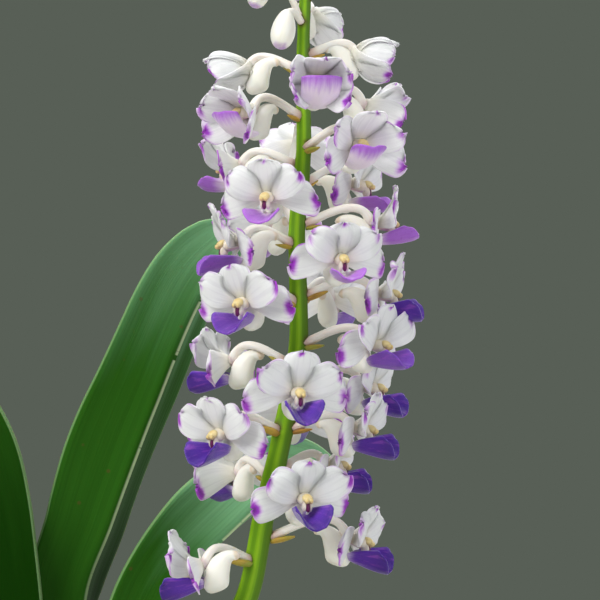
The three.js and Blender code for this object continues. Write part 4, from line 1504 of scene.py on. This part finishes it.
@dataclass(frozen=True)
class Bud:
    """A closed bud on its short arched stalk."""

    name: str
    foot: float
    yaw: float
    reach: float
    length: float
    rise: float = 0.12

    TILT = 20.0
    SEAT = 0.36
    CLEARANCE = 0.3
    STALK_RADIUS = 0.72
    TONE_HEIGHTS = (290, 262)

    def add_body(self, skin: Skin, turn: Matrix) -> None:
        """Adds the closed bud with its three seams and the nub of its spur.

        Args:
            skin: The bud's skin.
            turn: Takes an upright bud to its place.
        """
        rings = []
        for step in range(19):
            polar = pi * (step + 0.4) / 18.8
            tall, long = cos(polar), self.length / 2
            wide = sin(polar) * (1 - 0.18 * tall) * 0.56 * long
            ring = hoop(UP * (tall * long), Vector((wide, 0, 0)), Vector((0, wide, 0)), 24,
                        0.85 * smooth(-tall, 0.45, 1.0) - 0.2,
                        lambda angle, polar=polar: 1 - 0.09 * abs(cos(1.5 * angle)) ** 14 * sin(polar))
            rings.append([Dot(turn @ dot.at, mark=dot.mark) for dot in ring])
        skin.tube(rings)
        nub = egg(Vector((0, 0.2, 0.16)) * self.length, 55, (0.1, 0.1, 0.2))
        skin.ball(turn @ nub @ Matrix.Scale(self.length, 4))

    def build(self, palette: Palette, stalk: FlowerStalk) -> None:
        """Builds the bud.

        Args:
            palette: The plant's materials.
            stalk: The flower stalk that carries it.
        """
        out = Vector((sin(radians(self.yaw)), -cos(radians(self.yaw)), 0))
        foot = Foot(*stalk.at(self.foot), out)
        stalk.feet.append(foot)
        start = foot.edge(self.CLEARANCE)
        top = start + out * (0.55 * self.reach) + UP * ((0.4 + 0.9 * self.rise) * self.reach)
        end = start + out * self.reach + UP * (self.rise * self.reach)
        tilt, hang = radians(self.TILT), self.SEAT * self.length
        centre = end + out * (hang * sin(tilt)) - UP * (hang * cos(tilt))
        skin = Skin(tone=smooth(self.foot, *self.TONE_HEIGHTS))
        self.add_body(skin, Matrix.Translation(centre) @ turned(self.yaw, "Z") @ turned(-self.TILT, "X"))
        middles = [start - out * (self.CLEARANCE + 0.5)]
        middles += [start * (1 - t) ** 2 + top * (2 * t * (1 - t)) + end * t**2 for t in shares(12)]
        side, rings = Vector((-out.y, out.x, 0)), []
        for index, middle in enumerate(middles):
            before, after = neighbours(middles, index)
            over = (after - before).normalized().cross(side)
            rings.append(hoop(middle, side * self.STALK_RADIUS, over * self.STALK_RADIUS, 10,
                              0.5 * (1 - smooth(index, 0, 3))))
        skin.tube(rings, 1)
        piece = skin.piece(f"closed_bud_{self.name}", palette["bud"], palette["pedicel"])
        dress(piece, "bud", f"bud_{self.name}")


BUDS = (
    Bud("01", 268, -57, 8, 8, 0.88),
    Bud("02", 266.5, -30, 5.6, 8.5),
    Bud("51", 272, 70, 8, 7.6, 0.75),
    Bud("53", 274.5, -10, 7, 7),
    Bud("54", 278, -120, 6, 6.4),
    Bud("55", 280, 110, 5.6, 6),
    Bud("56", 283, -35, 4.6, 5.4),
    Bud("57", 286, 165, 3.8, 4.8),
)


# Leaves and stem


@dataclass(frozen=True)
class Leaf:
    """A keeled strap leaf, whose foot is a sheath round the stem.

    The keel is given in the leaf's own upright plane as reach and height. Fold is the
    half angle between its halves and twist turns the section towards -Y, each at
    the foot and in the open blade.
    """

    name: str
    heading: float
    keel: tuple[tuple[float, float], ...]
    sheath: float
    fold: tuple[float, float]
    twist: tuple[float, float]
    half: float = 13.0
    # How lit the leaf is painted: low tones give painted shade, high tones painted light with a bluish sky
    # reflection.
    tone: float = 0.4

    WIDTHS = ((0, 0.46), (0.14, 0.5), (0.35, 0.85), (0.6, 1), (0.82, 0.9), (0.94, 0.66), (1, 0.28))
    ROWS = 74
    COLUMNS = 25
    JOINT_GAP = 0.0035
    KEEL_THICK = 2.4
    BLADE_THICK = 1.3
    MARGIN_THICK = 0.75
    KEEL_SHARE = 0.22

    def width(self, t: float) -> float:
        """Half width, rounded over the CAD's straight runs.

        Args:
            t: Place from foot to tip.

        Returns:
            The half width there.
        """
        spans = [along(self.WIDTHS, min(max(t + shift, 0), 1)) for shift in (-0.04, -0.02, 0, 0.02, 0.04)]
        return self.half * lerp(sum(spans) / len(spans), along(self.WIDTHS, t), smooth(t, 0.9, 1.0))

    def thick(self, t: float, share: float) -> float:
        """Thickness: a stout keel and a thin margin.

        Args:
            t: Place from foot to tip.
            share: Place from keel to margin.

        Returns:
            The thickness there.
        """
        if share < self.KEEL_SHARE:
            thick = lerp(self.KEEL_THICK, self.BLADE_THICK, smooth(share, 0, self.KEEL_SHARE))
        else:
            thick = lerp(self.BLADE_THICK, self.MARGIN_THICK,
                         (share - self.KEEL_SHARE) / (1 - self.KEEL_SHARE))
        return thick * lerp(1.0, 0.75, smooth(t, 0.8, 1.0))

    def rows(self, start: float, end: float, count: int) -> list[list[Dot]]:
        """Rows of the leaf's middle surface.

        Args:
            start: Place of the first row on the keel.
            end: Place of the last row.
            count: How many rows.

        Returns:
            Rows of dots from one margin to the other.
        """
        way = Vector((cos(radians(self.heading)), sin(radians(self.heading)), 0))
        line = SmoothLine([way * reach + UP * height for reach, height in self.keel])
        near = Vector((way.y, -way.x, 0)) * copysign(1, way.x)
        rows = []
        for t in (lerp(start, end, share) for share in shares(count - 1)):
            middle, ahead, width = line.at(t), line.heading(t), self.width(t)
            up = near.cross(ahead)
            if up.dot(UP - way) < 0:
                up.negate()
            opening, turn = lerp(*self.fold, smooth(t, 0.06, 0.32)), lerp(*self.twist, smooth(t, 0.06, 0.36))
            dots = []
            for edge in (1 - 2 * share for share in shares(self.COLUMNS - 1)):
                sign, share = copysign(1, edge), abs(edge)
                angle = radians(opening) - sign * radians(turn)
                rounded = (sqrt(share * share + 0.0016) - 0.04) * width
                bulge = 0.05 * width * sin(pi * share)
                wave = 0.35 * sin(19 * t + 3 * sign) * share * share
                lobe = (0.9 if sign > 0 else 0.35) * sin(pi * min(share * 1.15, 1)) - 1.4 * (1 - share) ** 2
                point = middle + up * (rounded * cos(angle) + bulge * sin(angle) + wave)
                point += near * (sign * (share * width * sin(angle) - bulge * cos(angle)))
                point += ahead * (smooth(t, 0.93, 1.0) * lobe * 1.6)
                dots.append(Dot(point, self.thick(t, share)))
            rows.append(dots)
        return rows

    def build(self, palette: Palette) -> None:
        """Builds the blade of the leaf.

        Args:
            palette: The plant's materials.
        """
        skin = Skin(tone=self.tone)
        layers = (1.0, 0.0) if cos(radians(self.heading)) > 0 else (0.0, 1.0)
        skin.sheet(self.rows(self.sheath, 1, self.ROWS), 0, layers)
        dress(skin.piece(f"strap_leaf_{self.name}", palette["leaf"]), "leaf", f"leaf_{self.name}")


# Each leaf's tone sets its painted shade and light.
LEAVES = (
    Leaf("right_1", 4, ((2, 84), (16, 97), (44, 108), (74, 102), (98, 84)), 0.15, (30, 66), (0, 8),
         tone=0.35),
    Leaf("right_2", 7, ((3, 88), (13, 114), (21.6, 147.4), (34.3, 162), (46, 170.5), (56.5, 166)), 0.16,
         (24, 58), (10, 44), 14.4, 0.95),
    Leaf("right_3", 3, ((2, 98), (6.2, 122), (3.6, 147.4), (9.3, 164.1), (18.4, 188.3), (29.2, 213.3),
                        (39, 226)),
         0.1, (16, 57), (0, 49), 14.8, 0.5),
    Leaf("left_1", 183, ((2, 84), (18, 99), (46, 110), (76, 104), (100, 86)), 0.15, (30, 66), (0, 8),
         tone=0.3),
    Leaf("left_2", 177, ((3, 86), (17, 112), (38, 132), (66, 138), (92, 128)), 0.16, (24, 62), (0, 10),
         tone=0.2),
    Leaf("left_3", 182, ((2, 94), (10.4, 116), (14, 145), (18, 168), (25, 186), (37.5, 205), (54, 217)), 0.13,
         (38, 60), (0, 30), 14.6, 0.0),
)


@dataclass(frozen=True)
class Stem:
    """Short stem wrapped in the folded feet of the leaves."""

    radius: float = 5.2
    heights: Stops = ((66, 0.8), (80, 1.0), (98, 0.9), (108, 0.5))
    flatness: float = 0.85
    sheath_rows: int = 14
    sides: int = 28

    def build(self, palette: Palette) -> None:
        """Builds the stem with its sheaths.

        Args:
            palette: The plant's materials.
        """
        skin, rings = Skin(tone=0.5), []
        for share in shares(self.sides):
            height = lerp(self.heights[0][0], self.heights[-1][0], share)
            radius = self.radius * along(self.heights, height) * (1 + 0.02 * sin(height * 1.4))
            rings.append(hoop(UP * height, Vector((radius, 0, 0)), Vector((0, self.flatness * radius, 0)),
                              self.sides))
        skin.tube(rings)
        for leaf in LEAVES:
            skin.sheet(leaf.rows(0, leaf.sheath - leaf.JOINT_GAP, self.sheath_rows))
        dress(skin.piece("sheathed_stem", palette["sheath"]), "stem", "stem")


# Roots, bark and pot


ROOT_LINES = {
    "1": ((7.2, -4.5, 86), (14, -7, 90), (26, -11, 90), (33, -14.5, 84), (34.5, -15, 75), (34.5, -15, 66)),
    "2": ((-3, -6.5, 87), (-8, -14, 90), (-12, -25, 90), (-14, -32, 84), (-14.5, -34, 75), (-14.5, -34, 66)),
    "3": ((-6.9, 2.7, 88), (-15, 6, 92), (-27, 10, 90), (-34, 14, 84), (-35.5, 15, 75), (-35.5, 15, 66)),
    "4": ((2.6, 6.2, 87), (7, 14, 90), (12, 26, 90), (15, 32, 84), (16, 34, 75), (16, 34, 66)),
    "5": ((3.2, -6.8, 86), (8, -15, 90), (16, -25, 90), (21, -29.5, 84), (22, -31, 75), (22, -31, 66)),
}


@dataclass(frozen=True)
class AerialRoots:
    """Thick silvery roots that arch over the bark and go down into it."""

    radius: float = 2.25
    sides: int = 20
    steps: int = 70
    wobble: float = 0.55

    def build(self, palette: Palette) -> None:
        """Sweeps every root along its line by a node tree that roughens its skin.

        Args:
            palette: The plant's materials.
        """
        tree = GrownTree("root_tree")
        radius, wobble = tree.size("Radius"), tree.size("Wobble")
        sides, steps = tree.size("Sides", "Int"), tree.size("Steps", "Int")
        line = tree.node("GeometryNodeResampleCurve", Curve=tree.inputs["Geometry"], Count=steps)
        ring = tree.node("GeometryNodeCurvePrimitiveCircle", Resolution=sides, Radius=radius)
        tube = tree.node("GeometryNodeCurveToMesh", Curve=line, Profile_Curve=ring, Fill_Caps=True)
        size = tree.feed(tree.node("ShaderNodeMath", {"operation": "MULTIPLY"}), tree.noise(140.0, 2.0, 0),
                         wobble)
        rough = tree.pushed(tube, tree.node("GeometryNodeInputNormal"), size)
        sizes = {"Radius": self.radius * MM, "Sides": self.sides, "Steps": self.steps,
                 "Wobble": self.wobble * MM, "Material": palette["root"]}
        for name, points in ROOT_LINES.items():
            fine = [SmoothLine(points).at(place) for place in shares(60)]
            piece = tree.grow(f"aerial_root_{name}", line_object("root_line", fine), rough, sizes)
            dress(piece, "root", f"root_{name}")


@dataclass(frozen=True)
class Pot:
    """Thrown clay pot with a rolled rim and three drain holes, turned by a node tree."""

    height: float = 88
    base: float = 38
    mouth: float = 52
    rim: float = 56
    rim_depth: float = 17
    wall: float = 4.5
    floor: float = 6
    hole: float = 5
    hole_offset: float = 20
    holes: int = 3
    sides: int = 96
    axis_gap: float = 1.0
    longest_run: float = 2.4

    def profile(self) -> list[Vector]:
        """Half section of the pot as (radius, height), with rounded corners.

        Returns:
            The points of the section, round its clay.
        """
        inner, ledge = self.mouth - self.wall, self.height - self.rim_depth
        corners = [
            ((0, 0), 0), ((self.base, 0), 1.6), ((self.mouth - 1.5, ledge),
                                                 1.0), ((self.rim - 1.2, ledge + 0.6), 1.8),
            ((self.rim, self.height - 2), 3.0), ((self.rim - 2, self.height), 2.0),
            ((inner + 1.5, self.height), 2.0),
            ((inner, self.height - 3), 3.0), ((self.base - self.wall, self.floor), 3.0), ((0, self.floor), 0),
        ]
        spots = [Vector((*corner, 0)) for corner, _ in corners]
        path = [spots[0]]
        for before, here, after, (_, fillet) in zip(spots, spots[1:], spots[2:], corners[1:]):
            cut = min(fillet, 0.45 * (before - here).length, 0.45 * (after - here).length)
            first, last = (here + (end - here).normalized() * cut for end in (before, after))
            path += [first * (1 - t) ** 2 + here * (2 * t * (1 - t)) + last * t**2 for t in shares(4)]
        return self.with_lines(path + spots[-1:])

    def with_lines(self, path: Sequence[Vector]) -> list[Vector]:
        """Divides the section's long runs and adds the faint ridges left by throwing.

        Args:
            path: The plain section.

        Returns:
            The finished one.
        """
        made = []
        for start, end in zip(path, [*path[1:], path[0]]):
            steps = max(1, int((end - start).length / self.longest_run))
            for step in range(steps):
                point = start.lerp(end, step / steps)
                if point.x > self.base and self.floor < point.y < self.height - 4:
                    point.x += 0.16 * sin(point.y * 1.1) * sin(point.y * 0.31)
                made.append(point)
        return made

    def build(self, palette: Palette) -> None:
        """Builds the pot: its section is turned, then drilled.

        Args:
            palette: The plant's materials.
        """
        tree = GrownTree("pot_tree")
        ring = tree.node("GeometryNodeCurvePrimitiveCircle", Resolution=tree.size("Sides", "Int"),
                         Radius=tree.size("Axis gap"))
        turned_clay = tree.node("GeometryNodeCurveToMesh", Curve=ring, Profile_Curve=tree.inputs["Geometry"])
        merged = tree.node("GeometryNodeMergeByDistance", Geometry=turned_clay, Distance=2e-6)
        spots = tree.node("GeometryNodeMeshCircle", Vertices=tree.size("Holes", "Int"),
                          Radius=tree.size("Hole offset"))
        drill = tree.node("GeometryNodeMeshCylinder", Vertices=28, Radius=tree.size("Hole radius"),
                          Depth=0.03)
        cut = tree.feed(tree.node("GeometryNodeMeshBoolean", {"operation": "DIFFERENCE", "solver": "EXACT"}),
                        merged, tree.real(spots, drill))
        section = [Vector((p.x - self.axis_gap, -p.y, 0)) for p in self.profile()]
        sizes = {"Sides": self.sides, "Axis gap": self.axis_gap * MM, "Hole radius": self.hole * MM,
                 "Hole offset": self.hole_offset * MM, "Holes": self.holes, "Material": palette["clay"]}
        dress(tree.grow("thrown_pot", line_object("pot_section", section, True), cut, sizes), "clay", "pot")


@dataclass(frozen=True)
class PottingBark:
    """Coarse bark that fills the pot: a plug, with loose chunks scattered over its top."""

    top: float = 79.0
    foot: float = 6.3
    foot_radius: float = 32.3
    top_radius: float = 44.0
    chips: int = 210
    chip: tuple[float, float] = (4.5, 9.5)
    chip_half: tuple[float, float, float] = (0.5, 0.36, 0.22)
    squareness: float = 0.55
    root_room: float = 4.2
    stem_room: float = 9
    crumble: float = 1.6
    seed: int = 23

    def chip_shape(self) -> Object:
        """Makes one chunk, 1 mm long: a block with broken edges.

        Returns:
            The shape that the tree repeats.
        """
        skin, rings = Skin(), []
        for polar in (pi * (step + 0.7) / 7.4 for step in range(7)):
            ring = hoop(UP * cos(polar), Vector((sin(polar), 0, 0)), Vector((0, sin(polar), 0)), 12)
            rings.append([Dot(Vector([copysign(abs(c) ** self.squareness, c) * half
                                      for c, half in zip(dot.at, self.chip_half)])) for dot in ring])
        skin.tube(rings)
        return skin.piece("chip_shape")

    def spots(self) -> Object:
        """Spreads the chunks evenly over the top, with the size and turn of each.

        Returns:
            The points that the tree starts from.
        """
        draw = random.Random(self.seed)
        places, sizes, turns = [], [], []
        for index in range(self.chips):
            reach = (self.top_radius - 2.5) * sqrt((index + 0.5) / self.chips)
            angle = index * 2.39996 + draw.uniform(-0.2, 0.2)
            size = draw.uniform(*self.chip)
            x, y = reach * cos(angle), reach * sin(angle)
            near_root = any(hypot(x - p[-1][0], y - p[-1][1]) < self.root_room for p in ROOT_LINES.values())
            if near_root or reach < self.stem_room:
                continue
            places.append(Vector((x, y, self.top + draw.uniform(-1.6, 1.4))))
            sizes.append(size)
            turns += [draw.uniform(-0.55, 0.55), draw.uniform(-0.55, 0.55), draw.uniform(0, 6.28)]
        made = point_object("chip_spots", places)
        keep(made.data, "long", sizes)
        keep(made.data, "turn", turns, "FLOAT_VECTOR")
        return made

    def loose_chips(self, palette: Palette) -> Object:
        """Scatters the chunks by a node tree that crumbles their faces.

        Args:
            palette: The plant's materials.

        Returns:
            All the chunks as one object.
        """
        tree, chip = GrownTree("bark_tree"), self.chip_shape()
        info = tree.node("GeometryNodeObjectInfo", None, "Geometry", Object=tree.size("Chip shape", "Object"))
        spun = tree.node("FunctionNodeEulerToRotation", Euler=tree.kept("turn", "FLOAT_VECTOR"))
        chips = tree.real(tree.inputs["Geometry"], info, Rotation=spun, Scale=tree.kept("long"))
        rough = tree.pushed(chips, tree.noise(210.0, 3.0, "Color"), tree.size("Roughness"))
        sizes = {"Chip shape": chip, "Roughness": self.crumble * MM, "Material": palette["bark"]}
        loose = tree.grow("loose_chips", self.spots(), rough, sizes)
        bpy.data.objects.remove(chip)
        return loose

    def build(self, palette: Palette) -> None:
        """Builds the plug and its loose chunks as one piece.

        Args:
            palette: The plant's materials.
        """
        loose = self.loose_chips(palette)
        plug, rings = Skin(), []
        for t in shares(24):
            radius = lerp(self.foot_radius, self.top_radius, t) - 2.5 * smooth(t, 0.94, 1.0)
            middle = UP * lerp(self.foot, self.top - 1.2, t)
            rings.append(hoop(middle, Vector((radius, 0, 0)), Vector((0, radius, 0)), 64))
        plug.tube(rings)
        piece = plug.piece("bark_chunks", palette["bark"])
        with bpy.context.temp_override(active_object=piece, selected_editable_objects=[piece, loose]):
            bpy.ops.object.join()
        dress(piece, "bark", "potting_bark")


# Studio


@dataclass(frozen=True)
class SoftLight:
    """A square soft box: where it stands, what it lights, its side in metres and its power in watts."""

    name: str
    at: tuple[float, float, float]
    aim: tuple[float, float, float]
    side: float
    power: float
    colour: Colour = (1.0, 1.0, 1.0)

    def build(self) -> None:
        """Adds the light."""
        data = bpy.data.lights.new(self.name, "AREA")
        data.shape, data.size, data.energy, data.color = "SQUARE", self.side, self.power, self.colour
        light = placed(self.name, data)
        light.location = self.at
        light.rotation_euler = (Vector(self.aim) - Vector(self.at)).to_track_quat("-Z", "Y").to_euler()
        light.visible_camera = False


@dataclass(frozen=True)
class Studio:
    """Pale floor, grey surroundings, soft lights and the photograph's viewpoint, in metres."""

    camera_at: tuple[float, float, float] = (0.0496, -0.526, 0.211)
    lens: float = 150.0
    sensor: float = 36.0
    floor_radius: float = 1.05
    floor_height: float = -0.0005
    surroundings: Colour = srgb(88, 95, 86)
    lights: tuple[SoftLight, ...] = (
        SoftLight("key", (-0.9, -0.9, 1.15), (0.04, -0.03, 0.19), 0.9, 24.0, (1.0, 0.99, 0.97)),
        SoftLight("fill", (1.1, -0.9, 0.5), (0.04, -0.03, 0.19), 1.1, 9.0, (0.95, 0.97, 1.0)),
        SoftLight("overhead", (0.1, 0.1, 1.5), (0.04, 0.0, 0.15), 1.2, 13.0),
        SoftLight("back", (0.3, 1.3, 0.7), (0.04, 0.0, 0.18), 1.1, 12.0),
    )

    def build(self) -> None:
        """Adds the camera, floor, world and lights."""
        scene = bpy.context.scene
        data = bpy.data.cameras.new("camera")
        data.lens, data.sensor_width = self.lens, self.sensor
        scene.camera = placed("camera", data)
        scene.camera.location = self.camera_at
        scene.camera.rotation_euler = (radians(90), 0, 0)
        scene.world = bpy.data.worlds.new("surroundings")
        scene.world.use_nodes = True
        scene.world.node_tree.nodes["Background"].inputs[0].default_value = (*self.surroundings, 1.0)
        scene.view_settings.view_transform = "Standard"
        for light in self.lights:
            light.build()
        mesh = bpy.data.meshes.new("floor")
        rim = [(self.floor_radius * cos(a), self.floor_radius * sin(a), self.floor_height)
               for a in circle(96)]
        mesh.from_pydata(rim, [], [tuple(range(96))])
        mesh.materials.append(FloorFinish().make())
        floor = placed("floor", mesh)


# The plant


def main() -> None:
    """Builds the studio and the plant, from the pot up."""
    logging.basicConfig(level=logging.INFO, format="%(message)s")
    Studio().build()
    palette = {name: finish.make() for name, finish in FINISHES.items()}
    for part in (Pot(), PottingBark(), AerialRoots(), Stem(), *LEAVES):
        part.build(palette)
    stalk = FlowerStalk()
    for bloom in BLOOMS:
        bloom.build(palette, stalk)
    bracts = list(stalk.feet)
    for bud in BUDS:
        bud.build(palette, stalk)
    stalk.build(palette)
    Bracts().build(palette, bracts)


if __name__ == "__main__":
    main()
